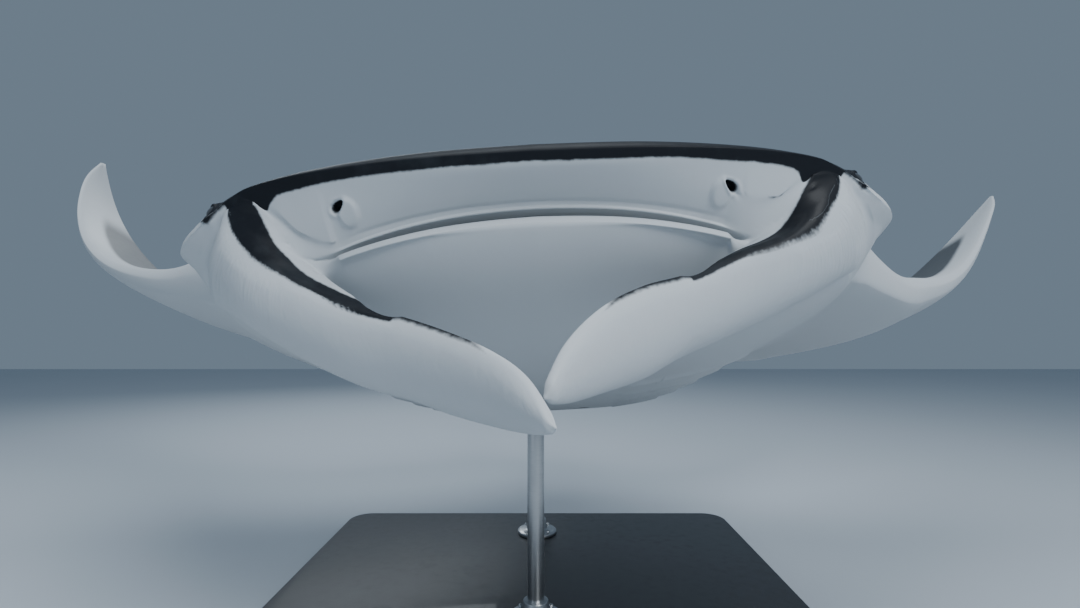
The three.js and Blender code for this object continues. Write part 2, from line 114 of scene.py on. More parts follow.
body = {
    "backHeight": 0.130,
    "bellyDepth": 0.222,
    "wingPlane": -0.012,
    "mouthHalf": 0.228,
    "upperLip": (-0.047, -0.027),    # height at the middle, added height at the corners
    "lowerLip": (-0.064, -0.025),
    "leadingEdge": [
        (0, 0), (0.12, 0.004), (0.22, 0.018), (0.29, 0.038), (0.35, 0.066), (0.405, 0.103), (0.443, 0.148),
        (0.46, 0.198), (0.472, 0.25), (0.5, 0.312), (0.566, 0.378), (0.705, 0.488), (0.85, 0.593),
        (1.0, 0.694), (1.15, 0.786), (1.3, 0.868), (1.43, 0.93), (1.53, 0.975), (1.6, 1.022),
    ],
    "trailingEdge": [
        (0, 1.455), (0.07, 1.45), (0.13, 1.43), (0.17, 1.405), (0.21, 1.375), (0.25, 1.35), (0.29, 1.325),
        (0.34, 1.3), (0.39, 1.275), (0.45, 1.25), (0.53, 1.225), (0.7, 1.19), (0.85, 1.168),
        (1.0, 1.15), (1.15, 1.135), (1.3, 1.115), (1.43, 1.09), (1.53, 1.064), (1.602, 1.036),
    ],
    "wingThickness": [
        (0, 0.12), (0.45, 0.12), (0.6, 0.088), (0.8, 0.064), (1.0, 0.045), (1.2, 0.03), (1.4, 0.018),
        (1.52, 0.011), (1.59, 0.006),
    ],
}
wings = {
    -1: {"lift": 0.026, "over": 0.64, "root": 0.342, "curl": 1.21, "start": 0.678, "power": 2.146,
         "sweep": 0.0},
    1: {"lift": -0.077, "over": 0.72, "root": -0.685, "curl": 1.497, "start": 0.45, "power": 0.394,
        "sweep": 0.132},
}


def bellyDepth(y):
    y = np.maximum(y, 0)
    front = np.sqrt(np.maximum(1 - (1 - np.minimum(y / 0.62, 1)) ** 2.6, 0))
    rear = np.maximum(np.cos(math.pi / 2 * clamp((y - 0.62) / 0.88) ** 1.15), 0) ** 0.9
    return body["bellyDepth"] * np.where(y < 0.62, front, rear)


def backHeight(y):
    return body["backHeight"] * np.maximum(np.sin(math.pi * clamp(y / 1.47) ** 0.85), 0) ** 1.1


# smooth curve through (value, result) pairs
def lookup(points, values):
    line = through(points, np.linspace(0, len(points) - 1, 900))
    return np.interp(values, line[:, 0], line[:, 1])


rimLine = body["leadingEdge"][:7] + [(0.475, 0.25), (0.5, 0.25)]     # the front rim, up to the shoulders


def rimDepth(x):
    return lookup(rimLine, np.abs(x))


# heights of the back and the belly over the plan; share is the place along the section
def surfaces(x, y, share):
    x = np.abs(x)
    flank = smooth(0.1, 0.5, y)
    low = 1 / (1 + (x / (0.48 - 0.095 * flank)) ** 4.4)
    high = 1 / (1 + (x / (0.45 - 0.07 * flank)) ** 3.6)
    thick = lookup(body["wingThickness"], x)
    half = thick / 2 * 2.9 * np.sqrt(clamp(share)) * clamp(1 - share) ** 1.3
    fromRim = y - rimDepth(x) * (1 - smooth(0, 0.52, y))
    crown = backHeight(fromRim) - 0.009 * (x / 0.32) ** 2 * (1 - smooth(0, 0.32, y))
    top = crown * high + (body["wingPlane"] + half) * (1 - high)
    bottom = -bellyDepth(y - rimDepth(x)) * low + (body["wingPlane"] - half) * (1 - low)
    return top, bottom


def lipHeight(which, x):
    middle, corner = body[which]
    return middle + corner * (x / body["mouthHalf"]) ** 2


# profile under the front rim as (distance back, height): fascia, upper lip, mouth, lower lip
def mouthProfile(x):
    gape = math.sqrt(float(clamp(1 - (x / body["mouthHalf"]) ** 2)))
    parted = gape ** 0.3
    upper, lower = lipHeight("upperLip", x), lipHeight("lowerLip", x)
    middle = (upper + lower) / 2
    upper = mix(middle, upper, parted) + 0.001 * (1 - gape)
    lower = mix(middle, lower, parted) - 0.001 * (1 - gape)
    return [
        (0, -0.010), (0.009, -0.021), (0.030, mix(-0.010, upper, 0.6)),
        (mix(0.050, 0.052, parted), upper + 0.004),
        (mix(0.0535, 0.059, parted), upper - 0.001),
        (mix(0.055, 0.060, parted) + 0.05 * gape, upper + 0.002 * gape),
        (mix(0.056, 0.062, parted) + 0.11 * gape, mix(upper, lower, 0.2)),
        (mix(0.057, 0.062, parted) + 0.118 * gape, mix(upper, lower, 0.8)),
        (mix(0.0575, 0.060, parted) + 0.05 * gape, lower - 0.002 * gape),
        (mix(0.0575, 0.046, parted), lower - 0.0005),
        (mix(0.057, 0.034, parted), lower - 0.003), (mix(0.056, 0.029, parted), lower - 0.011),
    ]


# one fore-and-aft section of the body as a closed loop: rear edge, back, nose, mouth, belly
def bodySection(s, counts):
    nose = through(body["leadingEdge"], s)[0]
    stern = through(body["trailingEdge"], s)[0]
    step = through(body["leadingEdge"], s + 0.02)[0] - through(body["leadingEdge"], max(s - 0.02, 0))[0]
    inward = np.array((-step[1] * smooth(0, 1, s), step[0])) / np.linalg.norm(step)
    straight = smooth(8.5, 12, s)
    heading = inward * (1 - straight) + np.array((0, straight))
    heading /= np.linalg.norm(heading)
    chord = np.linalg.norm(stern - nose)
    reach = mix(mix(0.3, 0.12, smooth(3, 6, s)), 0.3 * chord, smooth(7.5, 11, s))
    c = np.linspace(0, 1, 301)[:, None]
    line = ((1 - c) ** 3 * nose + 3 * c * (1 - c) ** 2 * (nose + heading * reach)
            + 3 * c * c * (1 - c) * (stern - (0, 0.35 * chord)) + c ** 3 * stern)
    arc = lengthAlong(line)
    total = arc[-1]

    side = smooth(3.2, 5.2, s) * (1 - smooth(8, 9.6, s))
    apex = -0.010 - 0.032 * side + (body["wingPlane"] + 0.010) * smooth(8, 9.6, s)
    rounding = min(0.016 + 0.052 * side - 0.010 * smooth(10, 17, s), 0.45 * total)

    def onPlan(d):
        return np.interp(d, arc, line[:, 0]), np.interp(d, arc, line[:, 1])

    def surface(d, below):
        x, y = onPlan(d)
        z = surfaces(x, y, d / total)[below]
        if below:
            cheek = apex - 0.018 * side * np.sqrt(clamp(d / 0.03) * (2 - clamp(d / 0.03)))
            z = mix(z, softLower(z, cheek), side)
        swell = np.sqrt(np.maximum(1 - (1 - clamp(d / rounding)) ** 2, 0))
        edge = 0.003 * smooth(0.5, 1, d / total)
        return x, y, mix(apex, z, swell) + (-edge if below else edge)

    mouthShare = 1 - smooth(2.55, 3.3, s)
    profile = through(mouthProfile(nose[0]), counts["profile"])
    chinRun, chinHeight = mouthProfile(nose[0])[-1]
    share = counts["profile"] / 11
    plainRun = rounding * (1 - np.cos(math.pi / 2 * share))
    px, py, pz = surface(plainRun, 1)
    mx, my = onPlan(profile[:, 0])
    plain, mouth = np.stack((px, py, pz), 1), np.stack((mx, my, profile[:, 1]), 1)
    front = mix(plain, mouth, mouthShare)
    mouthRun = np.cumsum(np.append(0, np.hypot(*np.diff(profile, axis=0).T)))
    frontRun = -mix(plainRun, mouthRun, mouthShare)

    start = mix(rounding, chinRun, mouthShare)
    d = mix(start, total, counts["belly"])
    bx, by, bz = surface(d, 1)
    blend = mouthShare * (1 - smooth(0, 0.06, d - start))
    belly = np.stack((bx, by, mix(bz, np.minimum(bz, chinHeight), blend)), 1)

    up = np.concatenate((rounding * (1 - np.cos(math.pi / 2 * counts["nose"])),
                         mix(rounding, total, counts["back"])))
    top = np.stack(surface(up, 0), 1)
    loop = np.vstack((top[::-1], front, belly))
    run = np.concatenate((up[::-1], frontRun, frontRun[-1] - (d - start)))
    under = np.concatenate((np.zeros(len(up)), share * 0.999 + 0.001, np.ones(len(d)) + d))
    return loop, run, under, nose[0]


# how one wing curls: place laid flat, angle, and the place across and up after curling
def bendTable(side):
    w = wings[side]
    span = np.linspace(0.44, 1.62, 500)
    t = clamp((span - w["start"]) / (1.58 - w["start"]))
    angle = w["root"] * smooth(0.45, 0.8, span) + w["curl"] * t ** w["power"] * smooth(-0.02, 0.22, t)
    step = np.diff(span)

    def added(values):
        return np.concatenate(([0], np.cumsum((values[1:] + values[:-1]) / 2 * step)))

    return span, angle, span[0] + added(np.cos(angle)), added(np.sin(angle))


# curls a laid-flat point up or down its wing
def bendWings(points):
    out = points.copy()
    for side in (-1, 1):
        span, angle, xs, zs = bendTable(side)
        w = wings[side]
        on = points[:, 0] * side > span[0]
        u = np.abs(points[on, 0])
        above = points[on, 2] - body["wingPlane"]
        a = np.interp(u, span, angle)
        out[on, 0] = side * (np.interp(u, span, xs) - above * np.sin(a))
        out[on, 1] += w["sweep"] * smooth(0.5, 1.7, u)
        out[on, 2] = (body["wingPlane"] + np.interp(u, span, zs) + above * np.cos(a)
                      + w["lift"] * smooth(0.44, w["over"], u))
    return out


lobes = {
    "bulge": 0.16,            # crown of the outer face, as a share of the lobe's width
    "bulgeMost": 0.022,
    -1: {
        "rim": [
            (-0.285, 0.052, -0.012), (-0.332, 0.06, -0.024), (-0.306, 0.051, -0.072), (-0.262, 0.053, -0.108),
            (-0.2, 0.035, -0.143), (-0.14, 0.01, -0.168), (-0.09, -0.016, -0.191), (-0.045, -0.048, -0.217),
            (-0.014, -0.074, -0.244), (0.006, -0.098, -0.281),
        ],
        "free": [
            (-0.395, 0.25, -0.058), (-0.422, 0.176, -0.086), (-0.35, 0.132, -0.136), (-0.268, 0.102, -0.187),
            (-0.19, 0.073, -0.226), (-0.13, 0.05, -0.247), (-0.085, 0.02, -0.265), (-0.04, -0.022, -0.28),
            (-0.01, -0.068, -0.288), (0.008, -0.097, -0.289),
        ],
    },
    1: {
        "rim": [
            (0.285, 0.052, -0.012), (0.332, 0.06, -0.022), (0.305, 0.053, -0.065), (0.259, 0.047, -0.093),
            (0.205, 0.042, -0.111), (0.15, 0.022, -0.139), (0.098, -0.004, -0.157), (0.055, -0.028, -0.181),
            (0.02, -0.047, -0.215), (-0.002, -0.06, -0.256),
        ],
        "free": [
            (0.395, 0.25, -0.058), (0.42, 0.186, -0.086), (0.35, 0.155, -0.124), (0.262, 0.13, -0.165),
            (0.195, 0.108, -0.193), (0.142, 0.085, -0.214), (0.1, 0.056, -0.236), (0.06, 0.02, -0.25),
            (0.022, -0.02, -0.262), (0, -0.054, -0.265),
        ],
    },
}
tail = {
    # x, y, z, half width, half height down its length
    "run": [
        (0, 1.29, 0.002, 0.05, 0.034), (0, 1.4, 0.004, 0.034, 0.027), (0, 1.5, 0.006, 0.022, 0.019),
        (0, 1.65, 0.022, 0.015, 0.013), (0, 1.85, 0.062, 0.011, 0.01), (0, 2.1, 0.12, 0.008, 0.0075),
        (0, 2.35, 0.18, 0.0055, 0.005), (0, 2.6114, 0.24, 0.0035, 0.0035),
    ],
}
fins = {
    "dorsal": {
        "front": [(0, 1.285, 0.02), (0, 1.33, 0.062), (0, 1.378, 0.098), (0, 1.418, 0.112)],
        "rear": [(0, 1.405, 0.022), (0, 1.418, 0.055), (0, 1.43, 0.088), (0, 1.432, 0.11)],
        "thick": (0.009, 0.002),
        "normal": (1, 0, 0),
    },
    "pelvic": {
        "front": [(0.025, 1.33, -0.008), (0.07, 1.35, -0.01), (0.118, 1.392, -0.013), (0.14, 1.44, -0.016)],
        "rear": [(0.014, 1.5, -0.004), (0.048, 1.518, -0.008), (0.092, 1.516, -0.013),
                 (0.136, 1.478, -0.016)],
        "thick": (0.008, 0.003),
        "normal": (0, 0, 1),
    },
}


def unit(vectors):
    return vectors / np.maximum(np.linalg.norm(vectors, axis=-1, keepdims=True), 1e-12)


# closed grid of one head lobe: rows run root to tip, columns run round the ribbon from its rim
def lobeGrid(side, rows=260, columns=44):
    shape = lobes[side]
    last = len(shape["rim"]) - 1
    t = np.linspace(0, last, rows)
    rim, free = through(shape["rim"], t), through(shape["free"], t)
    tip = np.sqrt(1 - smooth(0.0, 1.0, (t / last - 0.965) / 0.035) ** 2 * 0.97)[:, None]
    rim, free = mix((rim + free) / 2, rim, tip), mix((rim + free) / 2, free, tip)
    ahead, behind = (through(shape["rim"], t + d) + through(shape["free"], t + d) for d in (0.05, -0.05))
    chord = free - rim
    outward = unit(np.cross(ahead - behind, chord))
    outward *= np.where(outward[:, 2:] > 0, -1, 1)
    width = np.linalg.norm(chord, axis=1)
    share = t / last
    a = np.linspace(0, 2 * math.pi, 2 * columns, endpoint=False)
    v = (1 - np.cos(a)) / 2
    face = np.where(a < math.pi, 1.0, -1.0)
    face[0] = 0
    half = mix(mix(0.010, 0.004, share)[:, None], mix(0.004, 0.0025, share)[:, None], v[None, :])
    thick = half * np.sqrt(np.maximum(1 - np.abs(2 * v - 1) ** 6, 0)) * tip
    crown = np.minimum(lobes["bulge"] * width, lobes["bulgeMost"]) * mix(0.3, 1, smooth(0.06, 0.3, share))
    bulge = crown[:, None] * 4 * v * (1 - v)
    points = (rim[:, None] + chord[:, None] * v[None, :, None]
              + outward[:, None] * (bulge + face * thick)[..., None])
    plan = np.stack(np.broadcast_arrays(share[:, None], v[None, :], face[None, :]), -1)
    return points, plan


# flesh that fills the corner between the lobe's crest and the wall of the mouth
web = {
    -1: {
        "wall": [
            (-0.262, 0.052, -0.014), (-0.268, 0.058, -0.036), (-0.262, 0.072, -0.074),
            (-0.236, 0.074, -0.101), (-0.212, 0.058, -0.122), (-0.17, 0.036, -0.152),
        ],
        "root": [
            (-0.30, 0.13, -0.012), (-0.315, 0.125, -0.045), (-0.295, 0.118, -0.085), (-0.255, 0.108, -0.112),
            (-0.213, 0.07, -0.145), (-0.168, 0.04, -0.16),
        ],
    },
    1: {
        "wall": [
            (0.262, 0.052, -0.014), (0.268, 0.058, -0.034), (0.262, 0.072, -0.068), (0.234, 0.074, -0.09),
            (0.21, 0.06, -0.106), (0.172, 0.046, -0.126),
        ],
        "root": [
            (0.30, 0.13, -0.012), (0.315, 0.125, -0.04), (0.295, 0.118, -0.076), (0.255, 0.108, -0.102),
            (0.213, 0.074, -0.118), (0.172, 0.054, -0.136),
        ],
    },
}


# closed grid of one web: rows run down the crest, columns run round it
def webGrid(side, rows=170, columns=30):
    t = np.linspace(0.5, 4.8, rows)
    crest = through(lobes[side]["rim"], t)
    free = through(lobes[side]["free"], t)
    crest = crest + unit(free - crest) * 0.004
    wall, root = through(web[side]["wall"], t), through(web[side]["root"], t)
    u = np.linspace(0, 1, columns)[None, :, None]
    front = mix(crest[:, None], wall[:, None], u)
    swell = mix(-0.006, mix(0.010, 0.002, smooth(1.4, 2.8, t)), smooth(0.6, 1.5, t))
    front = front - np.array((0, 1, 0)) * swell[:, None, None] * np.sin(math.pi * u)
    back = mix(wall[:, None], root[:, None], u[:, 1:])
    home = mix(root[:, None], crest[:, None], u[:, 1:-1])
    return np.concatenate((front, back, home), axis=1)


# round fillers of flesh on the left, as x, y, z, half width, half height: one behind each lobe's
# root, one along the bend where the rim turns down into the lobe
fillers = {
    "heel": [
        (0.362, 0.105, -0.058, 0.008, 0.008), (0.370, 0.135, -0.067, 0.017, 0.014),
        (0.376, 0.17, -0.074, 0.021, 0.017), (0.376, 0.21, -0.073, 0.020, 0.016),
        (0.352, 0.26, -0.066, 0.012, 0.012),
    ],
    "knuckle": [
        (0.318, 0.066, -0.022, 0.006, 0.006), (0.329, 0.069, -0.028, 0.0105, 0.0105),
        (0.338, 0.073, -0.034, 0.0105, 0.0105), (0.346, 0.083, -0.042, 0.006, 0.006),
    ],
    "bend": [
        (0.285, 0.060, -0.016, 0.008, 0.008), (0.310, 0.064, -0.020, 0.010, 0.010),
        (0.325, 0.070, -0.030, 0.012, 0.012), (0.321, 0.069, -0.046, 0.0125, 0.0125),
        (0.307, 0.063, -0.064, 0.011, 0.011), (0.285, 0.060, -0.084, 0.009, 0.009),
        (0.262, 0.066, -0.098, 0.006, 0.006),
    ],
}
# places at each head corner that are relaxed until smooth, as x, y, z, radius
softZones = [
    (0.325, 0.066, -0.035, 0.032), (0.298, 0.055, -0.030, 0.028), (0.365, 0.11, -0.066, 0.03),
    (0.41, 0.172, -0.085, 0.022),
]


# round tapering form through (x, y, z, half width, half height)
def taperGrid(stations, rows, columns):
    t = np.linspace(0, len(stations) - 1, rows)
    middle = through(stations, t)
    heading = unit((through(stations, t + 0.05) - through(stations, t - 0.05))[:, :3])
    across = unit(np.array((1, 0, 0)) - heading * heading[:, :1])
    up = np.cross(across, heading)
    a = np.linspace(0, 2 * math.pi, columns, endpoint=False)[None, :, None]
    points = (middle[:, None, :3] + across[:, None] * middle[:, None, 3:4] * np.cos(a)
              + up[:, None] * middle[:, None, 4:5] * np.sin(a))
    return points


# thin fin between its front and rear edge
def bladeGrid(fin, side, rows=44, columns=28):
    mirror = np.array((side, 1, 1))
    t = np.linspace(0, len(fin["front"]) - 1, rows)
    front, rear = through(fin["front"], t) * mirror, through(fin["rear"], t) * mirror
    a = np.linspace(0, 2 * math.pi, 2 * columns, endpoint=False)
    v = (1 - np.cos(a)) / 2
    half = mix(*fin["thick"], np.linspace(0, 1, rows))[:, None]
    thick = half * np.sqrt(np.maximum(1 - np.abs(2 * v - 1) ** 3, 0)) * np.where(a < math.pi, 1, -1)
    flat = front[:, None] + (rear - front)[:, None] * v[None, :, None]
    return flat + np.array(fin["normal"]) * thick[..., None]


# closed mesh from a grid of loops, with a fan at each end, as (points, triangles)
def closeGrid(grid):
    rows, columns = grid.shape[:2]
    i, j = np.meshgrid(np.arange(rows - 1), np.arange(columns), indexing="ij")
    k = (j + 1) % columns
    a, b, c, d = i * columns + j, i * columns + k, (i + 1) * columns + k, (i + 1) * columns + j
    faces = np.concatenate([np.stack(corners, -1).reshape(-1, 3) for corners in ((a, b, c), (a, c, d))])
    points = np.vstack((grid.reshape(-1, 3), grid[0].mean(0), grid[-1].mean(0)))
    ring = np.arange(columns)
    after = (ring + 1) % columns
    first = np.stack((np.full(columns, rows * columns), after, ring), -1)
    end = (rows - 1) * columns
    final = np.stack((np.full(columns, rows * columns + 1), end + ring, end + after), -1)
    faces = np.concatenate((faces, first, final))
    p = points[faces]
    volume = np.einsum("ij,ij->", p[:, 0], np.cross(p[:, 1], p[:, 2]))
    return points, faces if volume > 0 else faces[:, ::-1]


relief = {
    "eye": (0.365, 0.091, -0.021),
    "eyeRadius": 0.0127,
    "gaze": (0.72, -0.66, 0.22),
    # wide and tall in degrees from the gaze, the rest in metres
    "lids": {"wide": 50, "tall": 38, "thick": 0.0010, "rim": 0.0010, "fillet": 0.006, "crease": 0.0007,
             "reach": 0.045},
    "nostril": (0.2085, -0.040),
    "nostrilSize": (0.0078, 0.0042),
    "nostrilDepth": 0.010,
    "nostrilFlap": 0.0028,
    "gills": 5,
    "gillStart": 0.37,
    "gillStep": 0.074,
    "gillDepth": 0.007,
    "gillWidth": 0.0045,
    "gillFlap": 0.0035,
    "spiracle": (0.408, 0.205),
    "spiracleDepth": 0.004,
    "spine": 0.004,
}


# skin near each eyeball is wrapped over it, leaving an almond opening along its gaze
def wrapEyes(points):
    look = relief["lids"]
    for side in (-1, 1):
        centre = np.array(relief["eye"]) * (side, 1, 1)
        gaze = unit(np.array(relief["gaze"]) * (side, 1, 1))
        up = unit(np.array((0, 0, 1)) - gaze * gaze[2])
        across = np.cross(gaze, up)
        away = points - centre
        r = np.linalg.norm(away, axis=1)
        near = r < look["reach"]
        away, r = away[near], r[near]
        direction = away / np.maximum(r, 1e-6)[:, None]
        turned = np.arccos(clamp(direction @ gaze, -1, 1))
        sideways, upward = direction @ across, direction @ up
        flat = np.hypot(sideways, upward) + 1e-9
        edge = 1 / np.hypot(sideways / flat / look["wide"], upward / flat / look["tall"])
        outside = np.degrees(turned) - edge
        ball = relief["eyeRadius"]
        dome = ball + look["thick"] + look["rim"] * bump(outside, 5, 5)
        soft = look["fillet"]
        wanted = (r + dome + np.sqrt((r - dome) ** 2 + soft ** 2)) / 2
        opening = 1 - smooth(-4, 1, outside)
        wanted = mix(wanted, np.minimum(wanted, ball * 0.8), opening * (r < 2.2 * ball))
        wanted -= look["crease"] * bump(outside, 20, 5) * (1 - smooth(1.6 * ball, 2.2 * ball, r))
        fade = 1 - smooth(0.7, 1, r / look["reach"])
        points[near] = centre + direction * mix(r, wanted, fade)[:, None]
    return points


# 0 at the middle of a nostril, 1 at its edge
def nostrilPlace(points):
    x, z = np.abs(points[:, 0]) - relief["nostril"][0], points[:, 2] - relief["nostril"][1]
    x, z = x * 0.85 - z * 0.52, z * 0.85 + x * 0.52
    wide, tall = relief["nostrilSize"]
    return np.hypot(x / wide, z / (tall * mix(0.65, 1.15, smooth(-wide, wide, x))))


def nostrilRelief(points, under):
    x, z = np.abs(points[:, 0]) - relief["nostril"][0], points[:, 2] - relief["nostril"][1]
    e = nostrilPlace(points)
    hole = -relief["nostrilDepth"] * (1 - smooth(0.55, 1.1, e))
    flapAt = np.hypot((x + 0.010) / 0.011, (z + 0.006) / 0.012)
    flap = relief["nostrilFlap"] * (1 - smooth(0.75, 1.15, flapAt)) * smooth(0.9, 1.3, e)
    rim = 0.0012 * bump(e, 1.35, 0.3)
    return (hole + flap + rim) * ((under > 0) & (under < 0.55))


# slits on each side of the belly, each with a low flap in front, as (relief, painted shade that darkens each
# slit)
def gills(points, under):
    x, y = np.abs(points[:, 0]), points[:, 1]
    depth, shade = np.zeros(len(x)), np.zeros(len(x))
    wide = relief["gillWidth"]
    for i in range(relief["gills"]):
        inner, outer = 0.115 + 0.004 * i, 0.335 - 0.024 * i
        middle, reach = (inner + outer) / 2, (outer - inner) / 2
        line = relief["gillStart"] + relief["gillStep"] * i + 0.028 * ((x - middle) / reach) ** 2
        within = (1 - smooth(0.82, 1.0, np.abs(x - middle) / reach)) * (under > 1)
        slit = -relief["gillDepth"] * bump(y - line, 0, wide)
        flap = relief["gillFlap"] * bump(y - line, -0.013, 0.012)
        depth += (slit + flap) * within
        # painted shade: each slit is darkened along its groove
        shade = np.maximum(shade, bump(y - line, 0.001, wide) * within)
    return depth, shade


def spiracleRelief(points, run):
    x, y = np.abs(points[:, 0]) - relief["spiracle"][0], points[:, 1] - relief["spiracle"][1]
    slit = -relief["spiracleDepth"] * bump(y, 0, 0.0035) * (1 - smooth(0.012, 0.018, np.abs(x)))
    ridge = 0.003 * bump(np.hypot(x / 0.024, (y + 0.006) / 0.012), 0, 1)
    return (slit + ridge) * (run > 0.02)


# groove along the fascia and swell of the upper lip
def foldRelief(points, under):
    fascia = -0.0013 * bump(under, 0.262, 0.010) * (1 - smooth(0.17, 0.22, np.abs(points[:, 0])))
    lip = 0.002 * bump(under, 0.335, 0.022)
    return (fascia + lip) * ((under > 0) & (under < 1)) * (1 - smooth(0.2, 0.25, np.abs(points[:, 0])))


def backRelief(points, run):
    spine = relief["spine"] * bump(points[:, 0], 0, 0.03) * smooth(0.15, 0.35, points[:, 1])
    return spine * (1 - smooth(1.1, 1.3, points[:, 1])) * (run > 0)


# distances in metres; a mark is painted where its distance is above 0, and none is far below it
pigmentAndPaintedShade = {
    # width of the dark rim against the distance from the middle
    "rimBand": [(0, 0.0104), (0.16, 0.0108), (0.231, 0.013), (0.262, 0.0145), (0.281, 0.0155),
                (0.292, 0.0165), (0.31, 0.022), (0.34, 0.036)],
    # width of the band on each lobe's crest against the place along the crest
    "crestBand": [(0.9, 0.027), (1.2, 0.0285), (1.5, 0.0285), (2, 0.024), (2.5, 0.019), (3, 0.0155),
                  (4, 0.0115), (5, 0.009)],
    "crestOver": 0.0045,      # how far the band laps over the crest
    # width inside a lobe's rim against the share of its length
    "lobeInner": [(0, 0.03), (0.3, 0.02), (0.5, 0.011), (0.7, 0.004), (0.8, -0.004), (1, -0.01)],
    "lobeOver": 0.0012,
    "cheek": 0.036,           # height of the dark edge above the shoulder's front edge
    # the dark round the eye is skin; the streak from it to the rim is painted shade of a groove
    "streakStart": (0.3705, 0.083, -0.016),
    "streakEnd": (0.322, 0.05, -0.006),
    "streakRadius": (0.0165, 0.005),
    "none": -0.02,
}


# dark skin round the eye, and from it forward to the rim a streak of painted shade where a groove runs
def eyePatch(points):
    start, end = np.array(pigmentAndPaintedShade["streakStart"]), np.array(pigmentAndPaintedShade["streakEnd"])
    here = np.column_stack((np.abs(points[:, 0]), points[:, 1:])) - start
    line = end - start
    along = clamp(here @ line / (line @ line))
    gap = np.linalg.norm(here - along[:, None] * line, axis=1)
    return mix(*pigmentAndPaintedShade["streakRadius"], along ** 0.7) - gap


# the body's hard-edged dark marks as distances, with painted shade inside the nostrils, and the wings' soft
# dark as a share
def darkBody(station, run, points):
    nose = through(body["leadingEdge"], station)[:, 0]
    front = run + np.interp(nose, *np.array(pigmentAndPaintedShade["rimBand"]).T)
    cheek = run - pigmentAndPaintedShade["cheek"] * smooth(3.9, 4.8, station)
    hard = mix(mix(front, cheek, smooth(3.5, 4.0, station)), pigmentAndPaintedShade["none"], smooth(8.3, 9.6, station))
    hard = np.maximum(hard, eyePatch(points))
    # painted shade: the inside of each nostril is darkened
    hole = np.where((run < 0) & (run > -0.06), (1 - nostrilPlace(points)) * 0.01, pigmentAndPaintedShade["none"])
    hard = np.maximum(hard, hole)
    margin = 0.036 + 0.04 * smooth(0.7, 1.35, nose)
    inland = smooth(-0.022, 0.03, run - margin) * smooth(-0.05, 0.1, 1.40 - nose)
    return hard, inland * smooth(8.0, 9.3, station)


# distance inside the dark band that runs down the crest of each lobe
def crestBand(points):
    dark = np.full(len(points), pigmentAndPaintedShade["none"])
    t = np.linspace(0.9, 5, 200)
    width = np.interp(t, *np.array(pigmentAndPaintedShade["crestBand"]).T)
    for side in (-1, 1):
        crest = through(lobes[side]["rim"], t)
        inward = unit(through(web[side]["wall"], t) - crest)
        x, y, z = (points * (side, 1, 1)).T
        close = np.flatnonzero((x > 0.12) & (x < 0.36) & (y < 0.16) & (z < -0.008) & (z > -0.19))
        for some in np.array_split(close, len(close) // 4000 + 1):
            gap = points[some, None] - crest
            far = np.linalg.norm(gap, axis=2)
            k = np.argmin(far, axis=1)
            row = np.arange(len(some))
            across = np.sum(gap[row, k] * inward[k], axis=1)
            dark[some] = np.minimum(width[k] - far[row, k], across + pigmentAndPaintedShade["crestOver"])
    return dark


# dark inner face and rim of a lobe
def darkLobe(plan, width):
    share, v, face = plan[:, 0], plan[:, 1], plan[:, 2]
    fromRim = face * v * width
    inner = np.interp(share, *np.array(pigmentAndPaintedShade["lobeInner"]).T)
    return np.minimum(fromRim + inner, pigmentAndPaintedShade["lobeOver"] - fromRim)


# spacing of the vertices, in metres
fineness = {
    "headStep": 0.0045,
    "nostrilStep": 0.0013,
    "eyeStep": 0.0022,
    "wingStep": 0.012,
}


# evenly spaced values over several (start, end, count) runs
def spread(pieces):
    runs = [np.linspace(a, b, n, endpoint=False) for a, b, n in pieces]
    return np.append(np.concatenate(runs), pieces[-1][1])


# places along the leading edge where the body is cut, closer together at the head
def stationList():
    s = np.linspace(0, 18, 6001)
    edge = through(body["leadingEdge"], s)
    arc = lengthAlong(edge)
    step = mix(fineness["headStep"], fineness["wingStep"], smooth(0.62, 0.9, arc))
    nostril = bump(edge[:, 0], relief["nostril"][0], 0.024) * (edge[:, 0] < 0.3)
    step = mix(step, fineness["nostrilStep"], nostril)
    step = mix(step, fineness["eyeStep"], bump(edge[:, 0], relief["eye"][0], 0.05) * (edge[:, 1] < 0.2))
    count = np.append(0, np.cumsum(np.diff(arc) / step[1:]))
    return np.interp(np.linspace(0, count[-1], int(count[-1])), count, s)


def normalsOf(grid):
    along = np.gradient(grid, axis=0)
    padded = np.concatenate((grid[:, -1:], grid, grid[:, :1]), axis=1)
    around = (padded[:, 2:] - padded[:, :-2]) / 2
    normals = unit(np.cross(along, around))
    middle = grid.mean(1, keepdims=True)
    return normals if np.sum((grid - middle) * normals) > 0 else -normals


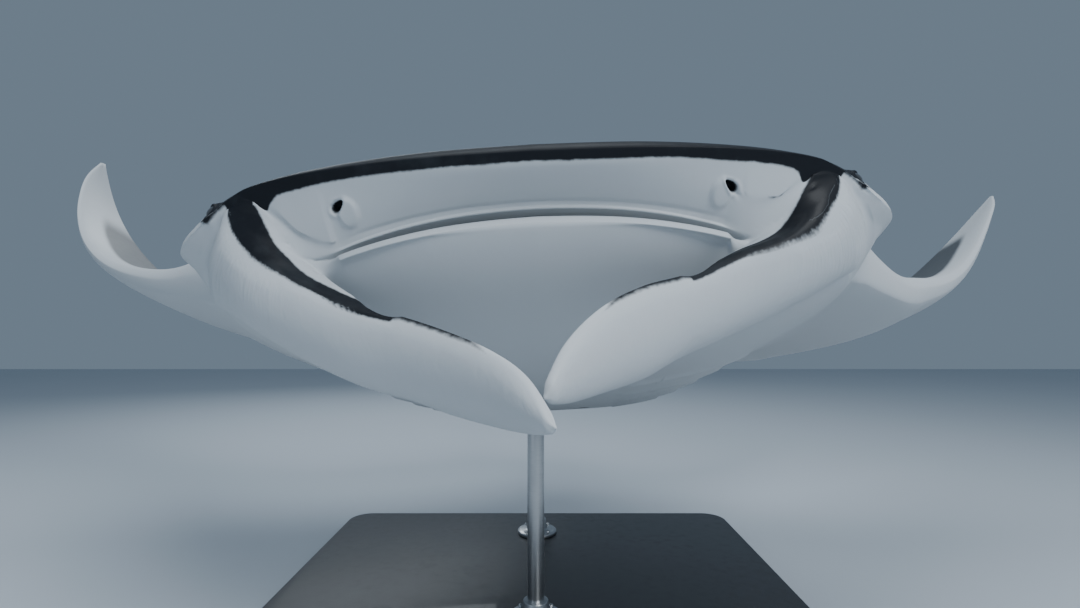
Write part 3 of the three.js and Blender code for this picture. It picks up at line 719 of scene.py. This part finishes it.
def bodyGrid():
    counts = {
        "profile": spread([(0, 1, 6), (1, 4, 44), (4, 8, 34), (8, 11, 18)]),
        "belly": spread([(0, 0.08, 40), (0.08, 0.2, 34), (0.2, 0.52, 118), (0.52, 1, 52)])[1:],
        "nose": np.linspace(0, 1, 30)[1:],
        "back": spread([(0, 0.1, 40), (0.1, 0.3, 40), (0.3, 1, 72)])[1:],
    }
    stations = stationList()
    half = [bodySection(s, counts) for s in stations]
    loops = np.array([h[0] for h in half])
    run = np.array([h[1] for h in half])
    under = np.array([h[2] for h in half])
    mirror = np.array((-1, 1, 1))
    grid = np.concatenate((loops[:0:-1] * mirror, loops))
    run, under = (np.concatenate((v[:0:-1], v)) for v in (run, under))
    station = np.broadcast_to(np.concatenate((stations[:0:-1], stations))[:, None], run.shape)
    flat = grid.reshape(-1, 3)
    gillDepth, paintedGillShade = gills(flat, under.ravel())
    run = run.ravel()
    push = (nostrilRelief(flat, under.ravel()) + gillDepth
            + spiracleRelief(flat, run) + foldRelief(flat, under.ravel()) + backRelief(flat, run))
    shaped = flat + normalsOf(grid).reshape(-1, 3) * push[:, None]
    dark, soft = darkBody(station.ravel(), run, flat)
    # the painted shade of the gill slits is laid into the soft dark
    soft = np.maximum(soft, 0.85 * paintedGillShade)
    plan = np.stack((flat[:, 0], flat[:, 1], run), -1)
    return bendWings(shaped).reshape(grid.shape), {"plan": plan, "dark": dark, "soft": soft}


def shown(name, data):
    thing = bpy.data.objects.new(name, data)
    bpy.context.scene.collection.objects.link(thing)
    return thing


# mesh object from points and faces, with its marks as attributes
def meshObject(name, points, faces, marks=None):
    mesh = bpy.data.meshes.new(name)
    mesh.vertices.add(len(points))
    mesh.vertices.foreach_set("co", np.asarray(points, np.float32).ravel())
    mesh.loops.add(faces.size)
    mesh.loops.foreach_set("vertex_index", faces.astype(np.int32).ravel())
    mesh.polygons.add(len(faces))
    mesh.polygons.foreach_set("loop_start", np.arange(0, faces.size, faces.shape[1], dtype=np.int32))
    mesh.update(calc_edges=True)
    for key, values in (marks or {}).items():
        values = np.asarray(values, np.float32)
        kind = "FLOAT" if values.ndim == 1 else "FLOAT_VECTOR"
        layer = mesh.attributes.new(key, kind, "POINT")
        layer.data.foreach_set("value" if kind == "FLOAT" else "vector", values.ravel())
    return shown(name, mesh)


# gives the two end points that closeGrid adds the last value
def grown(values, points):
    extra = len(points) - len(values)
    return np.concatenate((values, np.repeat(values[-1:], extra, 0)))


def plainPiece(name, grid, dark, part):
    points, faces = closeGrid(grid)
    everywhere = np.ones(len(points))
    return meshObject(name, points, faces, {
        "plan": points, "dark": everywhere * dark, "part": everywhere * part})


# the mark called part tells where the flesh is from: 1 body, 2 head lobe, 3 tail and fins
def fleshPieces():
    grid, marks = bodyGrid()
    points, faces = closeGrid(grid)
    marks = {key: grown(values, points) for key, values in marks.items()}
    yield meshObject("manta_skin", points, faces, {**marks, "part": np.full(len(points), 1.0)})
    print("body grid", len(faces), "triangles")
    for side in (-1, 1):
        grid, plan = lobeGrid(side)
        width = np.linalg.norm(grid[:, grid.shape[1] // 2] - grid[:, 0], axis=1)
        points, faces = closeGrid(grid)
        plan = plan.reshape(-1, 3)
        dark = darkLobe(plan, np.repeat(width, grid.shape[1]))
        yield meshObject("lobe", points, faces, {
            "plan": grown(plan, points), "dark": grown(dark, points), "part": np.full(len(points), 2.0)})
        yield plainPiece("web", webGrid(side), pigmentAndPaintedShade["none"], 1)
        mirror = np.array((side, 1, 1, 1, 1))
        for name, stations in fillers.items():
            filler = taperGrid(np.array(stations) * mirror, 90, 36)
            yield plainPiece(name, filler, pigmentAndPaintedShade["none"], 1)
    yield plainPiece("tail", taperGrid(tail["run"], 420, 28), 0.05, 3)
    for name, side in (("dorsal", 1), ("pelvic", -1), ("pelvic", 1)):
        grid = bladeGrid(fins[name], side)
        above = np.append(grid.reshape(-1, 3)[:, 2], (grid[0].mean(0)[2], grid[-1].mean(0)[2]))
        yield plainPiece(name, grid, 0.05 if name == "dorsal" else (above + 0.012) * 2, 3)


def attribute(mesh, key):
    layer = mesh.attributes[key]
    wide = layer.data_type == "FLOAT_VECTOR"
    values = np.zeros(len(layer.data) * (3 if wide else 1), np.float32)
    layer.data.foreach_get("vector" if wide else "value", values)
    return values.reshape(-1, 3) if wide else values


# softens the seams: vertices within a few edges of one are relaxed towards their neighbours
def seamWeight(mesh, seam, rings=14):
    a, b = edgeEnds(mesh)
    weight = seam.astype(float)
    for _ in range(rings):
        wider = weight.copy()
        np.maximum.at(wider, a, weight[b] - 1 / rings)
        np.maximum.at(wider, b, weight[a] - 1 / rings)
        weight = wider
    weight = np.minimum(weight * 1.5, 1)
    points = places(mesh)
    for x, y, z, radius in softZones:
        for side in (-1, 1):
            away = np.linalg.norm(points - (x * side, y, z), axis=1) / radius
            weight = np.maximum(weight, 1 - smooth(0.6, 1, away))
    return weight


def edgeEnds(mesh):
    edges = np.zeros(len(mesh.edges) * 2, np.int32)
    mesh.edges.foreach_get("vertices", edges)
    return edges.reshape(-1, 2).T


# for each vertex, the sum of its neighbours' values over the edges a, b
def neighbourSum(a, b, values):
    count = len(values)
    return np.stack([np.bincount(a, v[b], count) + np.bincount(b, v[a], count)
                     for v in values.reshape(count, -1).T], 1)


def places(mesh):
    points = np.zeros(len(mesh.vertices) * 3, np.float32)
    mesh.vertices.foreach_get("co", points)
    return points.reshape(-1, 3).astype(float)


def movePlaces(mesh, points):
    mesh.vertices.foreach_set("co", points.astype(np.float32).ravel())


# moves vertices towards the middle of their neighbours
def relax(mesh, weight, passes):
    a, b = edgeEnds(mesh)
    near = (weight[a] > 0) | (weight[b] > 0)
    a, b = a[near], b[near]
    points = places(mesh)
    degree = np.maximum(neighbourSum(a, b, np.ones(len(points))), 1)
    for _ in range(passes):
        points += (neighbourSum(a, b, points) / degree - points) * 0.5 * weight[:, None]
    movePlaces(mesh, points)


def nearest(points, centres):
    return np.min([np.linalg.norm(points - centre, axis=1) for centre in centres], axis=0)


# splits the long edges round some places, where fine shapes follow
def refine(mesh, centres, reach, longest):
    bm = bmesh.new()
    bm.from_mesh(mesh)
    for _ in range(3):
        bm.verts.ensure_lookup_table()
        points = np.array([v.co for v in bm.verts])
        close = np.flatnonzero(nearest(points, centres) < reach)
        edges = {e for k in close for e in bm.verts[k].link_edges if e.calc_length() > longest}
        bmesh.ops.subdivide_edges(bm, edges=list(edges), cuts=1)
        bmesh.ops.triangulate(bm, faces=[f for f in bm.faces if len(f.verts) > 3])
    bm.to_mesh(mesh)
    bm.free()


def shapeEyes(mesh):
    centres = [np.array(relief["eye"]) * (side, 1, 1) for side in (-1, 1)]
    refine(mesh, centres, 0.036, 0.0014)
    weight = 1 - smooth(0.02, 0.034, nearest(places(mesh), centres))
    relax(mesh, weight, 80)
    movePlaces(mesh, wrapEyes(places(mesh)))
    ring = nearest(places(mesh), centres)
    relax(mesh, (ring > relief["eyeRadius"]) * (1 - smooth(0.03, 0.04, ring)), 3)


def joinedSkin():
    pieces = list(fleshPieces())
    skin = pieces[0]
    for other in pieces[1:]:
        join = skin.modifiers.new("join", "BOOLEAN")
        join.operation = "UNION"
        join.solver = "MANIFOLD"
        join.object = other
    bpy.context.view_layer.update()
    joined = bpy.data.meshes.new_from_object(skin.evaluated_get(bpy.context.evaluated_depsgraph_get()))
    skin.modifiers.clear()
    skin.data = joined
    for other in pieces[1:]:
        bpy.data.objects.remove(other)
    print("skin", len(joined.vertices), "vertices", len(joined.polygons), "faces")
    return skin


# wraps one socket of a material so that shader sums can be written as Python
class Wire:
    def __init__(self, tree, socket=None):
        self.tree = tree
        self.socket = socket

    def node(self, kind, settings=None, inputs=None, out=0):
        made = self.tree.nodes.new(kind)
        for key, value in (settings or {}).items():
            setattr(made, key, value)
        for key, value in (inputs or {}).items():
            self.feed(made.inputs[key], value)
        return Wire(self.tree, made.outputs[out])

    def feed(self, socket, value):
        if isinstance(value, Wire):
            self.tree.links.new(value.socket, socket)
        else:
            socket.default_value = value

    def maths(self, operation, *values):
        return self.node("ShaderNodeMath", {"operation": operation}, dict(enumerate(values)))

    def __add__(self, other):
        return self.maths("ADD", self, other)

    def __sub__(self, other):
        return self.maths("SUBTRACT", self, other)

    def __rsub__(self, other):
        return self.maths("SUBTRACT", other, self)

    def __mul__(self, other):
        return self.maths("MULTIPLY", self, other)

    def __truediv__(self, other):
        return self.maths("DIVIDE", self, other)

    def __abs__(self):
        return self.maths("ABSOLUTE", self)

    __radd__ = __add__
    __rmul__ = __mul__

    # 0 below low, 1 above high, smooth between
    def between(self, low, high):
        return self.node("ShaderNodeMapRange", {"interpolation_type": "SMOOTHSTEP"},
                         {"Value": self, "From Min": low, "From Max": high})

    # the first colour where this is 0, the second where it is 1
    def blend(self, first, second):
        share, start, end, result = 0, 6, 7, 2      # the colour sockets of a Mix node, which share names
        return self.node("ShaderNodeMix", {"data_type": "RGBA"},
                         {share: self, start: coloured(first), end: coloured(second)}, out=result)

    def larger(self, other):
        return self.maths("MAXIMUM", self, other)

    def mark(self, name, out="Fac"):
        return self.node("ShaderNodeAttribute", {"attribute_name": name}, out=out)

    def place(self):
        return self.node("ShaderNodeTexCoord", out="Object")

    def noise(self, vector, scale, detail=3.0):
        return self.node("ShaderNodeTexNoise", {}, {"Vector": vector, "Scale": scale, "Detail": detail})

    def stretched(self, vector, factors):
        return self.node("ShaderNodeVectorMath", {"operation": "MULTIPLY"}, {0: vector, 1: factors})

    def axis(self, vector, letter):
        return self.node("ShaderNodeSeparateXYZ", {}, {"Vector": vector}, out=letter)

    def bump(self, height, distance, strength=1.0):
        return self.node("ShaderNodeBump", {}, {"Height": height, "Distance": distance, "Strength": strength})


def coloured(values):
    return values if isinstance(values, Wire) else (*values, 1.0)


# new material with its constant values, as (material, wire, sockets)
def material(name, **fixed):
    made = bpy.data.materials.new(name)
    made.use_nodes = True
    sockets = made.node_tree.nodes["Principled BSDF"].inputs
    for key, value in fixed.items():
        sockets[wording[key]].default_value = value
    return made, Wire(made.node_tree), sockets


wording = {
    "colour": "Base Color",
    "coat": "Coat Weight",
    "coatRoughness": "Coat Roughness",
    "gloss": "Specular IOR Level",
    "flesh": "Subsurface Weight",
    "fleshReach": "Subsurface Radius",
    "fleshScale": "Subsurface Scale",
    "metal": "Metallic",
    "roughness": "Roughness",
}


skinLook = {
    "fixed": {"coat": 0.06, "coatRoughness": 0.25, "gloss": 0.14, "flesh": 0.06,
              "fleshReach": (0.012, 0.016, 0.02), "fleshScale": 0.5},
    "dark": (0.008, 0.010, 0.014),
    "darkWorn": (0.026, 0.031, 0.037),     # mottling in the dark
    "pale": (0.57, 0.60, 0.625),
    "shoulder": (0.20, 0.22, 0.24),        # paler patch on each shoulder
    "patch": ((0.40, 0.38), (0.16, 0.09), -12.0),     # its centre, size and slant in degrees
    "patchLeast": 0.5,                     # share of it that greys the whole back
    "patchCover": 0.75,
    "spot": (0.035, 0.040, 0.048),
    "spotsPerMetre": 8.5,
    "edgeWander": 0.004,
    "edgeRagged": 0.0024,
    "edgeSoft": 0.0016,
    "roughness": (0.50, 0.54),             # pale, dark
    "bump": (0.0011, 0.55),                # height, strength
}


# soft-edged oval on the flat plan of the body, 1 inside
def oval(across, back, centre, size, slant, rough):
    x, y = across - centre[0], back - centre[1]
    c, sn = math.cos(math.radians(slant)), math.sin(math.radians(slant))
    u, v = (x * c + y * sn) / size[0], (y * c - x * sn) / size[1]
    return 1 - ((u * u + v * v) + rough).between(0.30, 1.35)


# a few dark spots in one part of the belly
def bellySpots(w, plan, ragged, across, back, run):
    flat = w.stretched(plan, (1.0, 1.0, 0.0))
    inputs = {"Vector": flat, "Scale": skinLook["spotsPerMetre"], "Randomness": 0.9}
    far = w.node("ShaderNodeTexVoronoi", {}, inputs, out="Distance")
    which = w.axis(w.node("ShaderNodeTexVoronoi", {}, inputs, out="Color"), "X")
    size = 0.04 + which * 0.08 + (ragged - 0.5) * 0.04
    belly = back.between(0.42, 0.50) * (1 - back.between(1.05, 1.2)) * (1 - across.between(0.26, 0.33))
    inside = 1 - (far - size).between(-0.012, 0.012)
    return inside * which.between(0.45, 0.5) * belly * (1 - run.between(-0.2, -0.1))


def skinMaterial():
    made, w, sockets = material("manta_skin", **skinLook["fixed"])
    spot = w.place()
    plan, origin = w.mark("plan", "Vector"), w.mark("part")
    across, back, run = abs(w.axis(plan, "X")), w.axis(plan, "Y"), w.axis(plan, "Z")
    isBody = 1 - origin.between(1.4, 1.6)
    isLobe = origin.between(1.4, 1.6) - origin.between(2.4, 2.6)
    ragged, wander = w.noise(spot, 170.0, 4.0), w.noise(spot, 16.0)
    cloud, fine = w.noise(spot, 5.0, 5.0), w.noise(spot, 60.0, 5.0)

    edge = w.mark("dark") + (wander - 0.5) * skinLook["edgeWander"] + (ragged - 0.5) * skinLook["edgeRagged"]
    cover = edge.between(-skinLook["edgeSoft"], skinLook["edgeSoft"])
    # soft dark: the wings' dark back, and painted shade in the gill slits
    soft = (w.mark("soft") * (0.85 + wander * 0.3)).between(0.05, 0.8)

    mottle = (cloud * 0.6 + fine * 0.4).between(0.46, 0.66)
    dark = (mottle * 0.6).blend(skinLook["dark"], skinLook["darkWorn"])
    rough = (cloud - 0.5) * 1.6 + (fine - 0.5) * 0.5
    patch = oval(across, back, *skinLook["patch"], rough).larger(skinLook["patchLeast"])
    patch = patch * isBody * run.between(0.03, 0.09) * skinLook["patchCover"]
    dark = patch.blend(dark, skinLook["shoulder"])

    spots = bellySpots(w, plan, ragged, across, back, run) * isBody
    pale = soft.blend(spots.blend(skinLook["pale"], skinLook["spot"]), dark)
    w.feed(sockets["Base Color"], cover.blend(pale, dark))

    forPale, forDark = skinLook["roughness"]
    w.feed(sockets["Roughness"], forPale + cover * (forDark - forPale) + (fine - 0.5) * 0.12)

    # long creases down each lobe, closest together near its root
    creases = w.noise(w.stretched(plan, (150.0, 2.2, 1.0)), 1.0, 2.0)
    rooted = isLobe * (1 - w.axis(plan, "X").between(0.2, 0.42))
    waves = w.noise(w.stretched(plan, (36.0, 3.0, 1.0)), 1.0, 2.0)
    folds = creases * rooted * 2.4 + waves * isLobe * 1.2
    height = w.noise(spot, 900.0, 3.0) * 0.10 + fine * 0.35 + folds * (1 - edge.between(-0.012, -0.002))
    w.feed(sockets["Normal"], w.bump(height, *skinLook["bump"]))
    return made


# gives the new vertices along the seams their neighbours' marks, and tells which they are
def fillSeams(mesh):
    seam = attribute(mesh, "part") < 0.5
    a, b = edgeEnds(mesh)
    near = seam[a] | seam[b]
    a, b = a[near], b[near]
    count = len(seam)
    known = (~seam).astype(float)
    marks = {key: attribute(mesh, key).reshape(count, -1).astype(float)
             for key in ("plan", "dark", "soft", "part")}
    for _ in range(12):
        weight = neighbourSum(a, b, known)[:, 0]
        fill = (known == 0) & (weight > 0)
        for values in marks.values():
            values[fill] = neighbourSum(a, b, known[:, None] * values)[fill] / weight[fill, None]
        known[fill] = 1
    dark = marks["dark"] = clamp(marks["dark"], pigmentAndPaintedShade["none"], -pigmentAndPaintedShade["none"])
    near = seam.astype(float)
    for _ in range(3):
        near = np.maximum(near, np.minimum(neighbourSum(a, b, near)[:, 0], 1))
    degree = np.maximum(neighbourSum(a, b, np.ones(count)), 1)
    for _ in range(4):
        dark += (neighbourSum(a, b, dark) / degree - dark) * 0.5 * near[:, None]
    for key, values in marks.items():
        kind = "vector" if values.shape[1] == 3 else "value"
        mesh.attributes[key].data.foreach_set(kind, values.astype(np.float32).ravel())
    return seam


# paints the lobes' crests, and the eyes' dark skin with its streaks of painted shade, once the flesh has
# settled
def paintCrests(mesh):
    points = places(mesh)
    marks = np.maximum(crestBand(points), eyePatch(points))
    marks = np.where(attribute(mesh, "part") < 2.5, marks, pigmentAndPaintedShade["none"])
    marks = np.maximum(attribute(mesh, "dark"), marks)
    mesh.attributes["dark"].data.foreach_set("value", marks.astype(np.float32))


# the whole skin is made in the animal's own frame, then tilted over the stand
def buildSkin():
    skin = joinedSkin()
    seam = fillSeams(skin.data)
    relax(skin.data, seamWeight(skin.data, seam), 150)
    shapeEyes(skin.data)
    paintCrests(skin.data)
    skin.data.transform(swimming)
    skin.data.polygons.foreach_set("use_smooth", np.ones(len(skin.data.polygons), bool))
    skin.data.materials.clear()
    skin.data.materials.append(skinMaterial())
    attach(skin, "root")
    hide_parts(*fleshNodes)


def buildEye(name, side):
    bm = bmesh.new()
    bmesh.ops.create_uvsphere(bm, u_segments=64, v_segments=48, radius=relief["eyeRadius"])
    mesh = bpy.data.meshes.new(name)
    bm.to_mesh(mesh)
    bm.free()
    layer = mesh.attributes.new("ball", "FLOAT_VECTOR", "POINT")
    layer.data.foreach_set("vector", unit(places(mesh)).astype(np.float32).ravel())
    gaze, centre = Vector(relief["gaze"]), Vector(relief["eye"])
    gaze.x *= side
    centre.x *= side
    turned = (swimming.to_3x3() @ gaze).to_track_quat("Z", "Y").to_matrix().to_4x4()
    mesh.transform(Matrix.Translation(swimming @ centre) @ turned)
    mesh.polygons.foreach_set("use_smooth", np.ones(len(mesh.polygons), bool))
    mesh.materials.append(bpy.data.materials.get("manta_eye") or eyeMaterial())
    eye = shown(name, mesh)
    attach(eye, "root")
    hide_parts(name)


eyeLook = {
    "fixed": {"colour": (0.030, 0.032, 0.036, 1), "coat": 1.0, "coatRoughness": 0.03},
    "roughness": (0.06, 0.05),        # least, and how much the noise adds
}


def eyeMaterial():
    made, w, sockets = material("manta_eye", **eyeLook["fixed"])
    threads = w.noise(w.stretched(w.mark("ball", "Vector"), (1.0, 1.0, 0.25)), 9.0, 6.0)
    least, added = eyeLook["roughness"]
    w.feed(sockets["Roughness"], least + threads * added)
    return made


standLook = {
    "boardFixed": {"coat": 0.15},
    "steelFixed": {"metal": 1.0},
    "board": (0.020, 0.021, 0.023),
    "boardWorn": (0.055, 0.057, 0.060),
    "steel": (0.60, 0.61, 0.62),
    "steelDull": (0.46, 0.47, 0.48),
}


def boardMaterial():
    made, w, sockets = material("stand_board", **standLook["boardFixed"])
    spot = w.place()
    cloud, peel, dust = w.noise(spot, 3.0, 4.0), w.noise(spot, 260.0, 2.0), w.noise(spot, 45.0, 6.0)
    worn = (cloud * 0.5 + dust * 0.5).between(0.50, 0.72)
    w.feed(sockets["Base Color"], (worn * 0.35).blend(standLook["board"], standLook["boardWorn"]))
    w.feed(sockets["Roughness"], 0.36 + worn * 0.12 + (dust - 0.5) * 0.10)
    w.feed(sockets["Normal"], w.bump(peel, 0.0004, 0.35))
    return made


def steelMaterial():
    made, w, sockets = material("stand_steel", **standLook["steelFixed"])
    spot = w.place()
    brushed = w.noise(w.stretched(spot, (6.0, 6.0, 340.0)), 4.0, 3.0)
    cloud = w.noise(spot, 12.0, 3.0)
    bright = (brushed * 0.6 + cloud * 0.4).between(0.3, 0.7)
    w.feed(sockets["Base Color"], bright.blend(standLook["steelDull"], standLook["steel"]))
    w.feed(sockets["Roughness"], 0.26 + brushed * 0.12 + (cloud - 0.5) * 0.08)
    w.feed(sockets["Normal"], w.bump(brushed, 0.00015, 0.4))
    return made


def addPiece(bm, name, node, finish):
    mesh = bpy.data.meshes.new(name)
    bmesh.ops.recalc_face_normals(bm, faces=bm.faces)
    bm.to_mesh(mesh)
    bm.free()
    mesh.polygons.foreach_set("use_smooth", np.ones(len(mesh.polygons), bool))
    piece = shown(name, mesh)
    mesh.materials.append(finish)
    mesh.set_sharp_from_angle(angle=math.radians(50))
    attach(piece, "root")
    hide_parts(node)


# closed turned piece from a profile of (radius, height) points, flat at both ends
def turnedPiece(bm, profile, x, y, segments=96):
    rings = [[bm.verts.new((x + r * math.cos(a), y + r * math.sin(a), z))
              for a in np.linspace(0, 2 * math.pi, segments, endpoint=False)] for r, z in profile]
    for low, high in zip(rings[:-1], rings[1:]):
        for i in range(segments):
            j = (i + 1) % segments
            bm.faces.new((low[i], low[j], high[j], high[i]))
    bm.faces.new(rings[0][::-1])
    bm.faces.new(rings[-1])


# rounds the corners of a profile with short arcs
def eased(profile, radius):
    out = [profile[0]]
    for before, here, after in zip(profile[:-2], profile[1:-1], profile[2:]):
        a, b, c = (np.array(p, float) for p in (before, here, after))
        first = b + unit(a - b) * min(radius, np.linalg.norm(a - b) / 2.2)
        final = b + unit(c - b) * min(radius, np.linalg.norm(c - b) / 2.2)
        for t in np.linspace(0, 1, 5):
            out.append(tuple((1 - t) ** 2 * first + 2 * t * (1 - t) * b + t * t * final))
    return out + [profile[-1]]


stand = {
    "bevel": 0.004,
    "rodBevel": 0.0015,
    "collar": {"radius": 0.055, "height": 0.040, "neck": 0.027, "foot": 0.008, "gap": 0.0004, "bevel": 0.002},
    "screwTurns": (45, 135, 225, 315),
    "screwOut": 0.044,
    # radius and height above the board's face, down to the flat of the socket in its head
    "screw": [(0.0008, 0.008), (0.0048, 0.008), (0.0048, 0.0145), (0.0036, 0.0158), (0.0022, 0.0158),
              (0.0022, 0.0135), (0.0008, 0.0135)],
    "pin": 0.001,        # smallest radius of a turned piece
}


def buildBoard():
    low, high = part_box("stand_base")
    bm = bmesh.new()
    bm.from_mesh(bpy.data.objects["stand_base"].data)
    bmesh.ops.remove_doubles(bm, verts=bm.verts, dist=1e-5)
    bmesh.ops.dissolve_limit(bm, angle_limit=math.radians(1), verts=bm.verts, edges=bm.edges)
    sharp = [e for e in bm.edges if e.calc_face_angle(0) > math.radians(60)]
    bmesh.ops.bevel(bm, geom=sharp, offset=stand["bevel"], segments=4, profile=0.5, affect="EDGES")
    addPiece(bm, "stand_board", "stand_base", boardMaterial())


def collarProfile(rod, floor):
    c = stand["collar"]
    bore, foot, top = rod + c["gap"], floor + c["foot"], floor + c["height"]
    return eased([
        (bore, floor), (c["radius"], floor), (c["radius"], foot), (c["radius"] - 0.005, foot + 0.003),
        (c["neck"] + 0.002, foot + 0.005), (c["neck"] - 0.002, top), (bore, top)], c["bevel"])


def buildStand():
    steel = steelMaterial()
    buildBoard()
    for place in ("front", "rear"):
        low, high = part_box(f"stand_rod_{place}")
        x, y = (low[0] + high[0]) / 2, (low[1] + high[1]) / 2
        rod, floor, top, pin = (high[0] - low[0]) / 2, low[2], high[2], stand["pin"]
        bm = bmesh.new()
        turnedPiece(bm, eased([(pin, floor), (rod, floor), (rod, top), (pin, top)], stand["rodBevel"]), x, y)
        addPiece(bm, f"rod_{place}", f"stand_rod_{place}", steel)
        bm = bmesh.new()
        turnedPiece(bm, collarProfile(rod, floor), x, y)
        screw = [(r, floor + z) for r, z in stand["screw"]]
        out = stand["screwOut"]
        for a in map(math.radians, stand["screwTurns"]):
            turnedPiece(bm, screw, x + out * math.cos(a), y + out * math.sin(a), 28)
        addPiece(bm, f"collar_{place}", f"stand_collar_{place}", steel)


stage = {
    "corners": [(-9, -6, 0), (9, -6, 0), (9, 7, 0), (-9, 7, 0)],
    "floor": (0.56, 0.61, 0.66),
    "floorShade": 0.94,
    "sky": (0.36, 0.48, 0.62),
    "skyPower": 0.42,
}


def buildStage():
    floor = meshObject("floor", np.array(stage["corners"], float), np.array([(0, 1, 2, 3)]))
    made, w, sockets = material("floor", roughness=0.8)
    shade = tuple(v * stage["floorShade"] for v in stage["floor"])
    w.feed(sockets["Base Color"], w.noise(w.place(), 0.6, 2.0).blend(stage["floor"], shade))
    floor.data.materials.append(made)
    floor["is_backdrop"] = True
    world = bpy.context.scene.world or bpy.data.worlds.new("world")
    bpy.context.scene.world = world
    world.use_nodes = True
    sky = world.node_tree.nodes["Background"].inputs
    sky["Color"].default_value = (*stage["sky"], 1)
    sky["Strength"].default_value = stage["skyPower"]


# place, aim, size, power in watts and colour of each lamp
lamps = {
    "key": ((1.9, -3.3, 2.9), (0.1, -0.6, 0.7), (1.5, 1.5), 125, (0.93, 0.97, 1.0)),
    "above": ((-0.2, -0.5, 3.6), (0, -0.4, 0.7), (2.6, 2.6), 60, (0.90, 0.96, 1.0)),
    "back": ((-1.4, 3.4, 2.8), (0, 0.2, 0.8), (2.4, 1.4), 40, (0.88, 0.95, 1.0)),
    "fill": ((-2.4, -3.0, 1.3), (0, -0.6, 0.8), (1.8, 1.4), 12, (0.80, 0.90, 1.0)),
}


def buildLights():
    for name, (place, aim, size, power, colour) in lamps.items():
        data = bpy.data.lights.new(name, "AREA")
        data.shape = "RECTANGLE"
        data.size, data.size_y = size
        data.energy = power
        data.color = colour
        thing = shown(name, data)
        thing.location = place
        thing.rotation_euler = (Vector(aim) - Vector(place)).to_track_quat("-Z", "Y").to_euler()


def buildCamera():
    data = bpy.data.cameras.new("camera")
    data.lens = camera["focal"]
    data.sensor_width = camera["sensor"]
    data.clip_start = 0.02
    view = shown("camera", data)
    view.location = swimming @ Vector((0, camera["ahead"], camera["below"]))
    view.rotation_euler = (math.radians(90 + attitude["look"]), 0, 0)
    bpy.context.scene.camera = view


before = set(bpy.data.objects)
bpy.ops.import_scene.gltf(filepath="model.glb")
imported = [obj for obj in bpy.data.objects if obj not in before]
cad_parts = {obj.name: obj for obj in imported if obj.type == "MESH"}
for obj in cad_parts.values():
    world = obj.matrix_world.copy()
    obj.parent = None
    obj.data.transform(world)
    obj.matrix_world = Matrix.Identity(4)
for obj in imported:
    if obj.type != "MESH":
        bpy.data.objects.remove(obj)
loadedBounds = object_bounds()
fleshNodes = [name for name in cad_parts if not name.startswith(("stand_", "eye_"))]
buildSkin()
print("skin built")
buildEye("eye_right", -1)
buildEye("eye_left", 1)
print("eyes built")
buildStand()
print("stand built")
buildStage()
buildLights()
buildCamera()
lists = [[list(map(float, corner)) for corner in box] for box in (loadedBounds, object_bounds())]
print("scene built")
